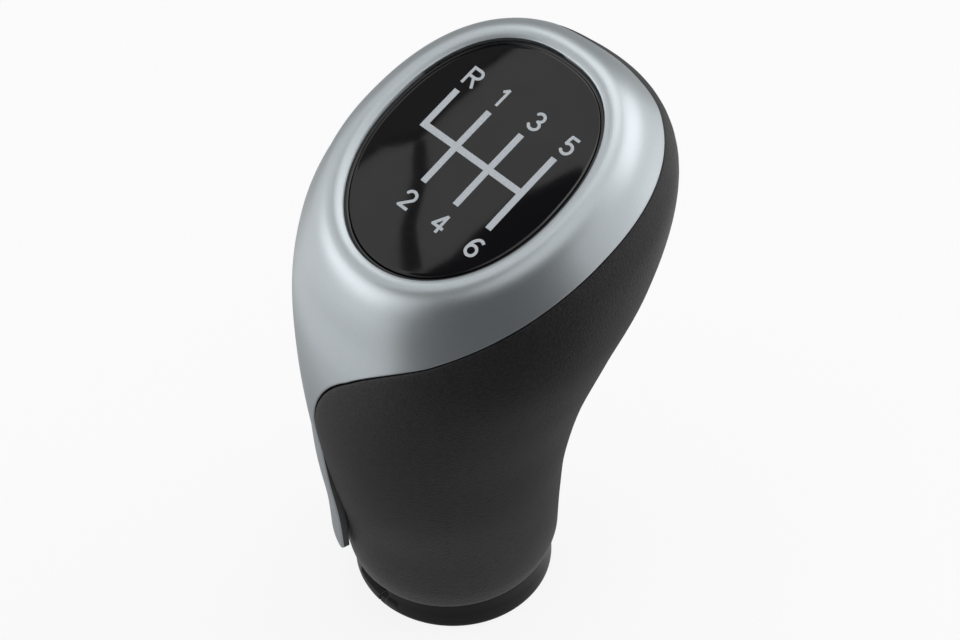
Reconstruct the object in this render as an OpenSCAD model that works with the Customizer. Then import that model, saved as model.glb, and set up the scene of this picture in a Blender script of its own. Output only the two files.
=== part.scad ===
// Push-on gear shift knob for a manual gearbox with six forward gears.
//
// Frame: the origin is the centre of the lever bore's mouth, on the plane of the collar's foot.
// +X is the car's right, +Y the car's front and +Z up along the lever. Millimetres and degrees.
//
// The grip is one lofted skin through ten named sections. Its pieces are cut from that skin by
// depth: the leather and the trim lie flush in it and the core lies under both. What closes the
// top is built in the head's own tilted frame, whose XY plane is the plane of the gate pattern.

/* [Grip sections: height, centre Y, half width X, half depth Y] */
// Section at the leather's hem
sec_hem = [7.2, -0.2, 16.5, 16.8]; // [-10:0.1:60]
// Section low on the neck
sec_neck = [18.8, -1.0, 17.6, 17.6]; // [-10:0.1:60]
// Section where the fingers close
sec_waist = [30.4, -1.9, 19.1, 19.2]; // [-10:0.1:60]
// Section above the fingers
sec_hold = [42, -0.8, 20.8, 21.9]; // [-10:0.1:60]
// Section where the head begins to flare
sec_flare = [53.6, 2.0, 23.6, 25.3]; // [-10:0.1:60]
// Widest section of the head
sec_brow = [65.2, 5.5, 26.4, 28.5]; // [-10:0.1:90]
// Longest section of the head, under the palm
sec_palm = [74.5, 7.5, 26.1, 29.7]; // [-10:0.1:90]
// Section on the crown's shoulder
sec_crown = [81.5, 5.7, 22.7, 27.1]; // [-10:0.1:90]

/* [Head] */
// Forward tilt of the top, with its front edge the higher one
head_tilt = 19.3; // [0:0.1:30]
// Height on the axis where the tilt begins
tilt_from = 28; // [10:0.5:50]
// Centre of the gate pattern's plane, as Y and Z
head_centre = [4.7, 85.2]; // [0:0.1:100]
// Half width and half length of the trim's crest
crest_half = [19.7, 23.3]; // [17:0.1:30]
// Height of the crest over the pattern's plane
crest_rise = 1.3; // [0.5:0.1:3]
// Half width and half length of the oval mouth in the trim
mouth_half = [15.95, 20.2]; // [12:0.05:24]
// Height of the mouth's edge over the pattern's plane
mouth_rise = 0.1; // [-0.4:0.05:0.8]
// Fullness of the oval at its front end, where 2 is an ellipse
oval_front = 2.35; // [2:0.05:3]
// Fullness of the oval at its rear end
oval_rear = 2.05; // [2:0.05:3]

/* [Trim] */
// Wall of the trim shell
trim_wall = 1.6; // [1.2:0.1:2.4]
// Height on the axis of the trim's edge at the sides
side_h = 80.2; // [76:0.1:81]
// Rise of that edge at the front
front_rise = 4.6; // [0:0.1:5]
// Half angle over which the front rises
front_spread = 38; // [20:1:70]
// Angle from the front to the middle of that rise, towards the driver's side
front_turn = 6; // [0:1:20]
// Dip of that edge opposite the tail
far_dip = 1.4; // [0:0.1:3]
// Angle from the rear to the tail, towards the driver's side
tail_turn = 34; // [0:1:60]
// Drop of the skirt where it meets the tail
skirt_drop = 36.2; // [20:0.1:40]
// Angle over which the skirt's drop fades
skirt_fade = 27.5; // [15:0.5:40]
// Half angle of the tail at its root
tail_root = 13.8; // [12:0.1:20]
// Half angle of the tail where it is widest
tail_wide = 18.4; // [15:0.1:22]
// Heights on the axis between which it widens
tail_widens = [46, 28]; // [20:1:60]
// Angle that each side of the tail leans in over its length
tail_lean = 0.8; // [0.6:0.1:3]
// Height on the axis of the tail's tip
tail_tip = 10.9; // [10:0.1:20]
// Rise of the tip from its middle to its corners
tip_bow = 0.5; // [0:0.1:3]
// Radius of the tip's corners
tip_corner = 1; // [0.5:0.1:3]
// Height on the axis where the tail leaves the skin
tail_leaves = 38; // [32:0.5:42]
// Distance that the tip stands off the skin
tail_lift = 2; // [1.8:0.1:3]
// Wall of the tail at its tip
tail_wall = 1.2; // [0.8:0.1:1.4]
// Height of the leather under the tail, which stops short of the trim's inside
tail_leather = 19; // [16:0.5:20]

/* [Leather] */
// Thickness of the leather with its backing
leather_wall = 1.4; // [1:0.1:2]
// Radius of the rolled hem
hem_roll = 1.2; // [0.6:0.1:1.6]
// Gap between the leather's edge and the trim's
seam_gap = 0.2; // [0.1:0.05:0.5]
// Clearance of leather and trim over the core
skin_gap = 0.08; // [0.04:0.01:0.2]

/* [Badge] */
// Width of the carrier's rim round the badge
rim_w = 1.1; // [0.5:0.05:1.5]
// Height of the rim over the pattern's plane, which is below it
rim_rise = -0.25; // [-0.6:0.05:0]
// Thickness of the badge plate at its centre
plate_t = 2.2; // [1.5:0.1:2.5]
// Radius of the badge plate's dome
dome_r = 300; // [150:10:800]
// Thickness of the adhesive pad
tape_t = 0.5; // [0.3:0.1:1]
// Distance of the pad's edge from the plate's
tape_inset = 1.5; // [0.5:0.1:3]
// Thickness of the carrier's floor
floor_t = 2.6; // [2.4:0.1:4]
// Width of the trim's shelf that the carrier clamps
shelf_w = 2.4; // [1.5:0.1:3]
// Thickness of that shelf
shelf_t = 1.8; // [1:0.1:2]
// Clearance between carrier, trim and plate
oval_gap = 0.1; // [0.05:0.05:0.3]

/* [Gate pattern] */
// Distance between two gates
gate_pitch = 6.55; // [5:0.05:7]
// Half length of a gate
gate_half = 7.05; // [5:0.05:8]
// Width of the printed line
gate_line = 1.05; // [0.6:0.05:1.6]
// Distance of the pattern forward of the plate's centre
gate_forward = 0.3; // [-1:0.1:1]
// Thickness of the print
print_t = 0.06; // [0.04:0.01:0.1]

/* [Screws] */
// Distance of each screw from the middle of the head
screw_y = 11; // [9:0.5:12]
// Radius of the screw's shank
screw_r = 1.4; // [1:0.1:1.8]
// Length of the shank under the head
screw_len = 9; // [6:0.5:12]
// Radius of the screw's head
screw_head_r = 2.6; // [2.2:0.1:3]
// Height of the screw's head
screw_head_h = 1.5; // [1:0.1:1.8]
// Radial clearance of the screw in the carrier
screw_gap = 0.2; // [0.1:0.05:0.4]

/* [Lever fit] */
// Radius of the bore that takes the gear lever
lever_r = 6.1; // [5:0.05:6.5]
// Wall of the sleeve
sleeve_wall = 1.9; // [1.7:0.1:2.2]
// Length of the sleeve
sleeve_len = 52; // [46:1:54]
// Length of the slit fingers at its top
finger_len = 12; // [8:1:14]
// Width of the slits
slit_w = 1.2; // [0.8:0.1:2]
// Radius of the spring clip's wire
clip_wire = 0.7; // [0.5:0.05:0.8]
// Opening angle of the spring clip
clip_gap = 60; // [30:5:100]
// Thickness of the rubber stop over the sleeve
stop_t = 3; // [2:0.5:4]
// Thickness of the sleeve's flange
flange_t = 2; // [1.5:0.1:3]
// Height of the flange's underside
flange_z = 15; // [13:0.5:18]
// Number of gussets under the flange
gussets = 6; // [4:1:8]
// Clearance between sleeve, core and collar
bore_gap = 0.1; // [0.05:0.05:0.3]
// Clearance round the fingers, for their spring
finger_gap = 1.2; // [1:0.1:2]

/* [Core] */
// Radius of the socket in the core's foot
socket_r = 14; // [13:0.1:14.4]
// Depth of the pocket under the badge
pocket_d = 15; // [8:1:17]
// Distance of the pocket's wall from the mouth's edge
pocket_inset = 4.2; // [3.5:0.1:6]
// Radius of the screw bosses in the pocket
boss_r = 3.4; // [2.8:0.1:4]
// Thickness of the ribs in the pocket
rib_t = 1.6; // [1:0.1:2.5]

/* [Collar] */
// Radius of the collar's foot
foot_r = 16; // [15:0.1:17]
// Height of the foot's flange
foot_h = 1.2; // [0.8:0.1:2]
// Radius of the collar's waist
collar_r = 15.2; // [14.8:0.1:15.6]
// Wall of the collar
collar_wall = 1.7; // [1.2:0.1:2]
// Gap between the collar's shoulder and the hem
collar_gap = 0.15; // [0.1:0.05:0.4]
// Wall of the spigot that goes up inside the core
spigot_wall = 1.5; // [1:0.1:2]
// Height of the two windows for the boot's hooks
window_h = 3.1; // [2:0.1:3.6]
// Angle that each window spans
window_span = 48; // [30:1:70]
// Angle of the first window's middle, from the rear towards the driver's side
window_turn = 20; // [0:1:90]
// Width of the slit in the foot's flange
nick_w = 0.8; // [0.5:0.1:1.5]
// Height of that slit
nick_h = 2; // [1:0.1:3]
// Size of the bead that snaps the spigot into the core
bead = 0.35; // [0.2:0.05:0.5]

/* [Hidden] */
$fn = 64;
eps = 0.01;

tail_half_cols = 5;
edge_half_cols = 5;
skirt_cols = 20;
leather_rows = 12;
trim_rows = 8;
rear = -90;
tail_at = rear - tail_turn;
seam_turn = seam_gap / sec_hold[2] * 180 / PI;
tail_end = tail_root - tail_lean;
tail_inner = tail_end - seam_turn;
last = 9;
crown_k = 7;
crest_k = 8;
mouth_k = 9;

sleeve_r = lever_r + sleeve_wall;
flange_r = socket_r - bore_gap;
ledge_z = flange_z + flange_t;
core_foot = sec_hem[0] + leather_wall;
clip_z = sleeve_len - finger_len / 2;
clip_r = sleeve_r - clip_wire / 4;
clip_seat = clip_r - clip_wire;
roof_z = sleeve_len + stop_t;

plate_half = mouth_half - [1, 1] * (oval_gap + rim_w + oval_gap);
carrier_half = mouth_half - [1, 1] * oval_gap;
shelf_half = mouth_half - [1, 1] * shelf_w;
boss_half = shelf_half - [1, 1] * oval_gap;
pocket_half = mouth_half - [1, 1] * pocket_inset;
plate_top = 0.3;
plate_under = plate_top - plate_t;
floor_z = plate_under - tape_t;
land_z = floor_z - floor_t;
shelf_z = land_z + shelf_t;

// The tilt grows from the fingers to the crown.
function tilt_at(z) = head_tilt * pow(max(0, min(1, (z - tilt_from) / (sec_top() - tilt_from))), 1.3);
function sec_top() = head_centre[1] + crest_rise * cos(head_tilt);

// A section on the head's axis, at a height over the pattern's plane.
function head_section(rise, half) = [
    head_centre[1] + rise * cos(head_tilt), head_centre[0] - rise * sin(head_tilt), half[0], half[1]
];

sections = [
    sec_hem, sec_neck, sec_waist, sec_hold, sec_flare, sec_brow, sec_palm, sec_crown,
    head_section(crest_rise, crest_half), head_section(mouth_rise, mouth_half)
];
heights = [for (i = [0:crest_k]) [sections[i][0], i]];

// Catmull-Rom spline through the sections, with k counting them.
function section_or_mirror(i) =
    i < 0 ? 2 * sections[0] - sections[1] :
    i > last ? 2 * sections[last] - sections[last - 1] : sections[i];
function section_at(k) =
    let (i = max(0, min(last - 1, floor(k))), f = k - i,
         a = section_or_mirror(i - 1), b = sections[i], c = sections[i + 1], d = section_or_mirror(i + 2))
    0.5 * (2 * b + (c - a) * f + (2 * a - 5 * b + 4 * c - d) * f * f + (3 * b - a - 3 * c + d) * f * f * f);
function k_at(z) = lookup(z, heights);
// Row r of n between two sections. Where they lie far apart, the rows crowd towards the upper one.
function row_k(from, to, r, n) = to - (to - from) * pow(1 - r / n, 1 + (to - from) / (2 * last));

// A point of an oval: an ellipse whose two ends can be fuller.
function oval_point(half, a, front, back) =
    let (n = sin(a) > 0 ? front : back)
    [half[0] * sign(cos(a)) * pow(abs(cos(a)), 2 / n), half[1] * sign(sin(a)) * pow(abs(sin(a)), 2 / n)];
function oval(half, count = 72) =
    [for (i = [0:count - 1]) oval_point(half, i * 360 / count, oval_front, oval_rear)];

// The skin: section k, angle a.
function skin(k, a) =
    let (s = section_at(k), t = tilt_at(k > crest_k ? sec_top() : s[0]), full = max(0, min(1, (k - 5) / 3)),
         p = oval_point([s[2], s[3]], a, 2 + (oval_front - 2) * full, 2 + (oval_rear - 2) * full))
    [p[0], s[1] + p[1] * cos(t), s[0] + p[1] * sin(t)];
function unit(v) = v / norm(v);
function skin_out(k, a) = unit(cross(
    skin(k, a + 1) - skin(k, a - 1),
    skin(min(last, k + 0.05), a) - skin(max(0, k - 0.05), a)
));
function at_depth(k, a, d) = skin(k, a) - d * skin_out(k, a);
// A point of an oval in the head's frame, at a height over the pattern's plane.
function on_head(half, a, rise) =
    let (s = head_section(rise, half), p = oval_point(half, a, oval_front, oval_rear))
    [p[0], s[1] + p[1] * cos(head_tilt), s[0] + p[1] * sin(head_tilt)];

// Columns of the loft: close together on the tail, wider apart away from it.
tail_cols = [for (i = [0:tail_half_cols]) tail_inner * i / tail_half_cols];
edge_cols = [for (i = [1:edge_half_cols]) tail_inner + (tail_root - tail_inner) * i / edge_half_cols];
far_cols = [for (i = [1:skirt_cols]) tail_root + (180 - tail_root) * pow(i / skirt_cols, 1.25)];
half_cols = concat(tail_cols, edge_cols, far_cols);
half_n = len(half_cols);
columns = concat(half_cols, [for (i = [half_n - 2:-1:1]) -half_cols[i]]);
function off_tail(c) = abs(columns[c]);
// Below the skirt the columns fan out with the widening tail, and close up again away from it.
function widen(k) =
    let (t = max(0, min(1, (tail_widens[0] - section_at(k)[0]) / (tail_widens[0] - tail_widens[1]))))
    (tail_wide - tail_root) * t * t * (3 - 2 * t);
function fan_at(off) = off < tail_root ? off / tail_root : max(0, 1 - (off - tail_root) / (4 * tail_root));
function col_angle(c, k) = tail_at + sign(columns[c]) * (off_tail(c) + widen(k) * fan_at(off_tail(c)));
function on_col(k, c, d) = at_depth(k, col_angle(c, k), d);

// Height on the axis of the trim's lower edge: the sides, the rise at the front, the skirt and the tail.
function front_at(a) =
    let (d = abs((a + 450) % 360 - 180 - front_turn))
    d < front_spread ? (1 + cos(180 * d / front_spread)) / 2 : 0;
function dip_at(off) = let (t = max(0, min(1, (off - 105) / 70))) far_dip * t * t * (3 - 2 * t);
function skirt_at(off) = skirt_drop * exp(-(off - tail_root) / skirt_fade);
function corner_turn() = tip_corner / sec_neck[2] * 180 / PI;
function tip_rise(off) =
    let (t = min(1, off / tail_end), r = max(0, min(1, (off - tail_end) / corner_turn() + 1)))
    tip_bow * t * t + tip_corner * (1 - sqrt(1 - r * r));
function tail_side(off, foot) = foot + (side_h - skirt_drop - foot) * max(0, off - tail_end) / tail_lean;
function edge_height(off, a, foot) =
    off >= tail_root
        ? side_h + front_rise * front_at(a) - dip_at(off) - skirt_at(off)
        : tail_side(off, foot + tip_rise(off));
trim_edge = [for (c = columns) k_at(edge_height(abs(c) + seam_turn, tail_at + c, tail_tip)) + seam_gap / 10];
leather_edge = [for (c = columns) k_at(edge_height(abs(c), tail_at + c, tail_leather))];

// Rows of the core under the trim, which the trim's inside shares.
function under_k(c, r) = row_k(leather_edge[c] + 0.04, crown_k + 0.45, r, trim_rows);

// How far the skin of the tail has left the grip at section k.
function away(k) = max(0, min(1, (tail_leaves - section_at(k)[0]) / (tail_leaves - tail_tip)));
function on_tail(c) = off_tail(c) < tail_root ? 1 : 0;
function lift_at(k, c) = on_tail(c) * tail_lift * away(k);
function wall_at(k, c) = trim_wall + on_tail(c) * (tail_wall - trim_wall) * away(k);

// A solid swept round the columns, with one closed loop of points at each.
module ring_loft(loops) {
    n = len(loops);
    m = len(loops[0]);
    polyhedron(
        points = [for (l = loops) for (p = l) p],
        faces = [for (i = [0:n - 1]) for (j = [0:m - 1])
            let (a = i * m + j, b = ((i + 1) % n) * m + j,
                 c = ((i + 1) % n) * m + (j + 1) % m, d = i * m + (j + 1) % m)
            each [[a, b, c], [a, c, d]]]
    );
}

// A solid stacked from closed rings, each end closed by a fan from its middle.
module stack_loft(rings) {
    n = len(rings);
    m = len(rings[0]);
    function middle(r) = [for (x = [0:2]) [for (p = r) p[x]] * [for (p = r) 1] / m];
    polyhedron(
        points = concat([for (r = rings) for (p = r) p], [middle(rings[0]), middle(rings[n - 1])]),
        faces = concat(
            [for (i = [0:n - 2]) for (j = [0:m - 1])
                let (a = i * m + j, b = i * m + (j + 1) % m,
                     c = (i + 1) * m + (j + 1) % m, d = (i + 1) * m + j)
                each [[a, d, b], [d, c, b]]],
            [for (j = [0:m - 1]) [n * m, j, (j + 1) % m]],
            [for (j = [0:m - 1]) [n * m + 1, (n - 1) * m + (j + 1) % m, (n - 1) * m + j]]
        )
    );
}

module in_head() translate([0, head_centre[0], head_centre[1]]) rotate([head_tilt, 0, 0]) children();
module oval_block(half, from, to) translate([0, 0, from]) linear_extrude(to - from) polygon(oval(half));
module at_screws() for (y = [-screw_y, screw_y]) translate([0, y, 0]) children();

// Collar: the tube under the leather that holds the boot's frame, with a spigot that snaps into the core.
module collar_profile() {
    shoulder = sec_hem[0] - collar_gap;
    spigot_r = socket_r - bore_gap;
    polygon([
        [collar_r - collar_wall, 0], [foot_r - 0.3, 0], [foot_r, 0.3], [foot_r, foot_h],
        [collar_r, foot_h + 0.6], [collar_r, shoulder],
        [spigot_r, shoulder], [spigot_r, shoulder + 3], [spigot_r + bead, shoulder + 3 + bead],
        [spigot_r, shoulder + 3 + 2 * bead], [spigot_r, flange_z],
        [spigot_r - spigot_wall, flange_z], [spigot_r - spigot_wall, shoulder - 1],
        [collar_r - collar_wall, shoulder - 2]
    ]);
}
module collar_ring() color("#1c1c1e") difference() {
    rotate_extrude() collar_profile();
    for (side = [0, 180])
        rotate([0, 0, rear - window_turn + side - window_span / 2])
            translate([0, 0, sec_hem[0] - collar_gap - 1 - window_h])
                rotate_extrude(angle = window_span)
                    translate([collar_r - collar_wall - 1, 0]) square([collar_wall + 3, window_h]);
    rotate([0, 0, rear]) translate([collar_r - collar_wall - 1, -nick_w / 2, -eps])
        cube([foot_r, nick_w, nick_h]);
}

// Core: the moulded body under leather and trim, with the socket for sleeve and collar and a ribbed
// pocket under the badge.
module core_body() {
    foot = leather_wall + skin_gap;
    head = trim_wall + skin_gap;
    k_foot = k_at(core_foot);
    stack_loft(concat(
        [for (r = [0:leather_rows]) [for (c = [0:len(columns) - 1])
            on_col(row_k(k_foot, leather_edge[c], r, leather_rows), c, foot)]],
        [for (r = [0:trim_rows]) [for (c = [0:len(columns) - 1])
            on_col(under_k(c, r), c, head)]]
    ));
}
module core_pocket() difference() {
    oval_block(pocket_half, land_z - pocket_d, land_z + eps);
    at_screws() translate([0, 0, land_z - pocket_d - 1]) cylinder(r = boss_r, h = pocket_d + 2);
    translate([-rib_t / 2, -mouth_half[1], land_z - pocket_d - 1])
        cube([rib_t, 2 * mouth_half[1], pocket_d - 1]);
    translate([-mouth_half[0], -rib_t / 2, land_z - pocket_d - 1])
        cube([2 * mouth_half[0], rib_t, pocket_d - 1]);
}
module grip_core() color("#2b2b2d") difference() {
    core_body();
    in_head() {
        translate([-2 * mouth_half[0], -2 * mouth_half[1], land_z])
            cube([4 * mouth_half[0], 4 * mouth_half[1], 30]);
        core_pocket();
        at_screws() translate([0, 0, land_z - screw_len]) cylinder(r = screw_r, h = screw_len + 1);
    }
    rotate_extrude() polygon([
        [0, 0], [socket_r, 0], [socket_r, sec_hem[0] - collar_gap + 3 - 0.05],
        [socket_r + bead, sec_hem[0] - collar_gap + 3 + bead],
        [socket_r, sec_hem[0] - collar_gap + 3 + 2 * bead + 0.05], [socket_r, ledge_z],
        [sleeve_r + bore_gap, ledge_z], [sleeve_r + bore_gap, sleeve_len - finger_len - 1],
        [sleeve_r + finger_gap, sleeve_len - finger_len - 1], [sleeve_r + finger_gap, roof_z], [0, roof_z]
    ]);
}

// Leather: a sewn sleeve round the core, its hem rolled in under the core's foot.
function leather_loop(c) =
    let (k0 = k_at(sec_hem[0]), k1 = k_at(core_foot + hem_roll), k2 = leather_edge[c],
         kf = k_at(core_foot), lip = 0.3, tuck = socket_r + 0.2,
         hem = skin(k0, col_angle(c, k0)), dir = unit([hem[0], hem[1], 0]))
    concat(
        [tuck * dir + [0, 0, core_foot - skin_gap], tuck * dir + [0, 0, sec_hem[0]], hem - hem_roll * dir,
         hem - 0.35 * hem_roll * dir + [0, 0, 0.3 * hem_roll]],
        [for (r = [0:leather_rows]) on_col(row_k(k1, k2, r, leather_rows), c, r < leather_rows ? 0 : lip)],
        [for (r = [leather_rows:-1:0]) on_col(row_k(kf, k2, r, leather_rows), c, leather_wall)]
    );
module leather_cover() color("#2a2a2c") ring_loft([for (c = [0:len(columns) - 1]) leather_loop(c)]);

// Trim: the satin shell with its oval mouth, skirt and standing tail, and the shelf that the carrier
// clamps.
function trim_loop(c) =
    let (a = col_angle(c, crest_k), k0 = trim_edge[c])
    concat(
        [for (f = [1, 0.25]) on_col(k0, c, f * wall_at(k0, c) - lift_at(k0, c))],
        [for (r = [0:trim_rows]) let (k = row_k(k0 + 0.04, crest_k, r, trim_rows))
            on_col(k, c, -lift_at(k, c))],
        [skin(crest_k + 0.5, a), skin(mouth_k, a), on_head(mouth_half, a, shelf_z),
         on_head(shelf_half, a, shelf_z),
         on_head(shelf_half, a, land_z), on_head(mouth_half + [1, 1] * trim_wall, a, land_z),
         on_head(mouth_half + [1, 1] * trim_wall, a, -1)],
        [for (r = [trim_rows:-1:0]) let (k = max(under_k(c, r), k0 + 0.01 * (r + 1)))
            on_col(k, c, wall_at(k, c) - lift_at(k, c))]
    );
module trim_cover() color("#a9adb1") ring_loft([for (c = [0:len(columns) - 1]) trim_loop(c)]);

// Carrier: the black frame in the mouth. Two screws through its floor hold it and the trim to the core.
module badge_carrier() color("#121214") in_head() difference() {
    union() {
        oval_block(carrier_half, shelf_z, rim_rise);
        oval_block(boss_half, land_z, shelf_z + eps);
    }
    oval_block(plate_half + [1, 1] * oval_gap, floor_z, 1);
    at_screws() {
        translate([0, 0, land_z - 1]) cylinder(r = screw_r + screw_gap, h = floor_t + 2);
        translate([0, 0, floor_z - screw_head_h])
            cylinder(r = screw_head_r + screw_gap, h = screw_head_h + 1);
    }
}

// Screw: pan head with a cross recess, under the adhesive pad.
module carrier_screw(y) color("silver") in_head() translate([0, y, 0]) difference() {
    union() {
        translate([0, 0, floor_z - screw_head_h]) cylinder(r = screw_head_r, h = screw_head_h - 0.1);
        translate([0, 0, land_z - screw_len + 0.5])
            cylinder(r = screw_r, h = screw_len - 0.5 + floor_t - screw_head_h + eps);
    }
    for (turn = [0, 90]) rotate([0, 0, turn])
        translate([-screw_r, -0.3, floor_z - 1]) cube([2 * screw_r, 0.6, 2]);
}
module carrier_screw_front() carrier_screw(screw_y);
module carrier_screw_rear() carrier_screw(-screw_y);

// Adhesive pad between the carrier's floor and the badge plate.
module badge_tape() color("#4a4a4a") in_head()
    oval_block(plate_half - [1, 1] * tape_inset, floor_z, plate_under);

// Badge plate: gloss black, with a slightly domed face.
module dome(r) translate([0, 0, plate_top - dome_r]) sphere(r = r, $fn = 360);
module badge_plate() color("#0a0a0c") in_head() intersection() {
    oval_block(plate_half, plate_under, 1);
    dome(dome_r);
}

// Print: four gates on a cross bar. The gate of reverse has only its front arm.
module gate_bars() {
    span = 3 * gate_pitch;
    translate([-span / 2 - gate_line / 2, -gate_line / 2, -1]) cube([span + gate_line, gate_line, 3]);
    for (i = [0:3]) {
        back = i == 0 ? 0 : gate_half;
        translate([(i - 1.5) * gate_pitch - gate_line / 2, -back, -1])
            cube([gate_line, gate_half + back, 3]);
    }
}
module gate_print() color("#b9bec4") in_head() intersection() {
    translate([0, gate_forward, 0]) gate_bars();
    difference() {
        dome(dome_r + print_t);
        dome(dome_r);
    }
}

// Sleeve: the insert that is pushed on the lever, with a flange under the core's ledge and four
// spring fingers.
module lever_sleeve() color("#2e2e30") difference() {
    union() {
        rotate_extrude() polygon([
            [lever_r, 0], [sleeve_r - 0.4, 0], [sleeve_r, 0.4], [sleeve_r, flange_z],
            [flange_r, flange_z], [flange_r, ledge_z],
            [sleeve_r, ledge_z], [sleeve_r, clip_z - clip_wire], [clip_seat, clip_z - clip_wire],
            [clip_seat, clip_z + clip_wire], [sleeve_r, clip_z + clip_wire],
            [sleeve_r, sleeve_len], [lever_r, sleeve_len]
        ]);
        for (i = [0:gussets - 1])
            rotate([0, 0, (i + 0.5) * 360 / gussets]) rotate([90, 0, 0]) translate([0, 0, -0.6])
                linear_extrude(1.2) polygon([
                    [sleeve_r - 0.3, 5], [sleeve_r + 0.2, 5], [flange_r - spigot_wall - 0.4, flange_z - 2],
                    [flange_r - spigot_wall - 0.4, flange_z + 0.2], [sleeve_r - 0.3, flange_z + 0.2]
                ]);
    }
    for (turn = [45, 135]) rotate([0, 0, turn])
        translate([-2 * sleeve_r, -slit_w / 2, sleeve_len - finger_len])
            cube([4 * sleeve_r, slit_w, finger_len + 1]);
}

// Spring clip: an open ring of round wire in the groove of the fingers.
module spring_clip() color("#c0c0c4")
    rotate([0, 0, clip_gap / 2]) rotate_extrude(angle = 360 - clip_gap)
        translate([clip_r, clip_z]) circle(r = clip_wire, $fn = 32);

// Rubber stop that the lever's end meets.
module end_stop() color("#303030") translate([0, 0, sleeve_len]) cylinder(r = sleeve_r, h = stop_t);

collar_ring();
grip_core();
leather_cover();
trim_cover();
badge_carrier();
carrier_screw_front();
carrier_screw_rear();
badge_tape();
badge_plate();
gate_print();
lever_sleeve();
spring_clip();
end_stop();
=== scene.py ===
"""Dressed model of a push-on gear shift knob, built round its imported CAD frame.

The grip is one lofted skin. Leather, trim and seam are laid on that skin at a finer pitch than
the CAD solids that they stand for, and the badge is built in the head's own tilted frame.
Lengths are worked out in millimetres and become metres when a mesh is made.
"""
from __future__ import annotations

import logging
import math
from dataclasses import dataclass, field
from enum import Enum
from typing import Any, Iterable, Sequence, Union

import bmesh
import bpy
import numpy as np
from mathutils import Matrix, Quaternion, Vector, geometry


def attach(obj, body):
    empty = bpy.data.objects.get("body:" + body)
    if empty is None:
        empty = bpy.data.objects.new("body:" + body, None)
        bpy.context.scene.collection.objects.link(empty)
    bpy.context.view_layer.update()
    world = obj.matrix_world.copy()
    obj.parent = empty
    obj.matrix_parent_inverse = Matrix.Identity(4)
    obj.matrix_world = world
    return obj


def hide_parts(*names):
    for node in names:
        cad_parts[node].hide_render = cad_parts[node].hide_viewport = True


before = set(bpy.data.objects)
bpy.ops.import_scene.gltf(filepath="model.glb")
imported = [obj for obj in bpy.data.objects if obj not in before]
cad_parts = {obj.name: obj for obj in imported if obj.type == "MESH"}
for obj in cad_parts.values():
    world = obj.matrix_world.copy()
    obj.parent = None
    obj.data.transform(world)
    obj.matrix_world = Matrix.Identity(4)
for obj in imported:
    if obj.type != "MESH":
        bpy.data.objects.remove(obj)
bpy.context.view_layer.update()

LOG = logging.getLogger("shift_knob")
MM = 0.001
BODY = "root"
KNOB_MIDDLE = Vector((0.0, 0.0, 0.05))

WELD = 1e-6
TINY = 0.001
FAR = 1e9
ASIDE = (0.123, 0.31, 0.94)

Array = np.ndarray
Number = Union[int, float]
Faces = list[list[int]]


# Meshes


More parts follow.
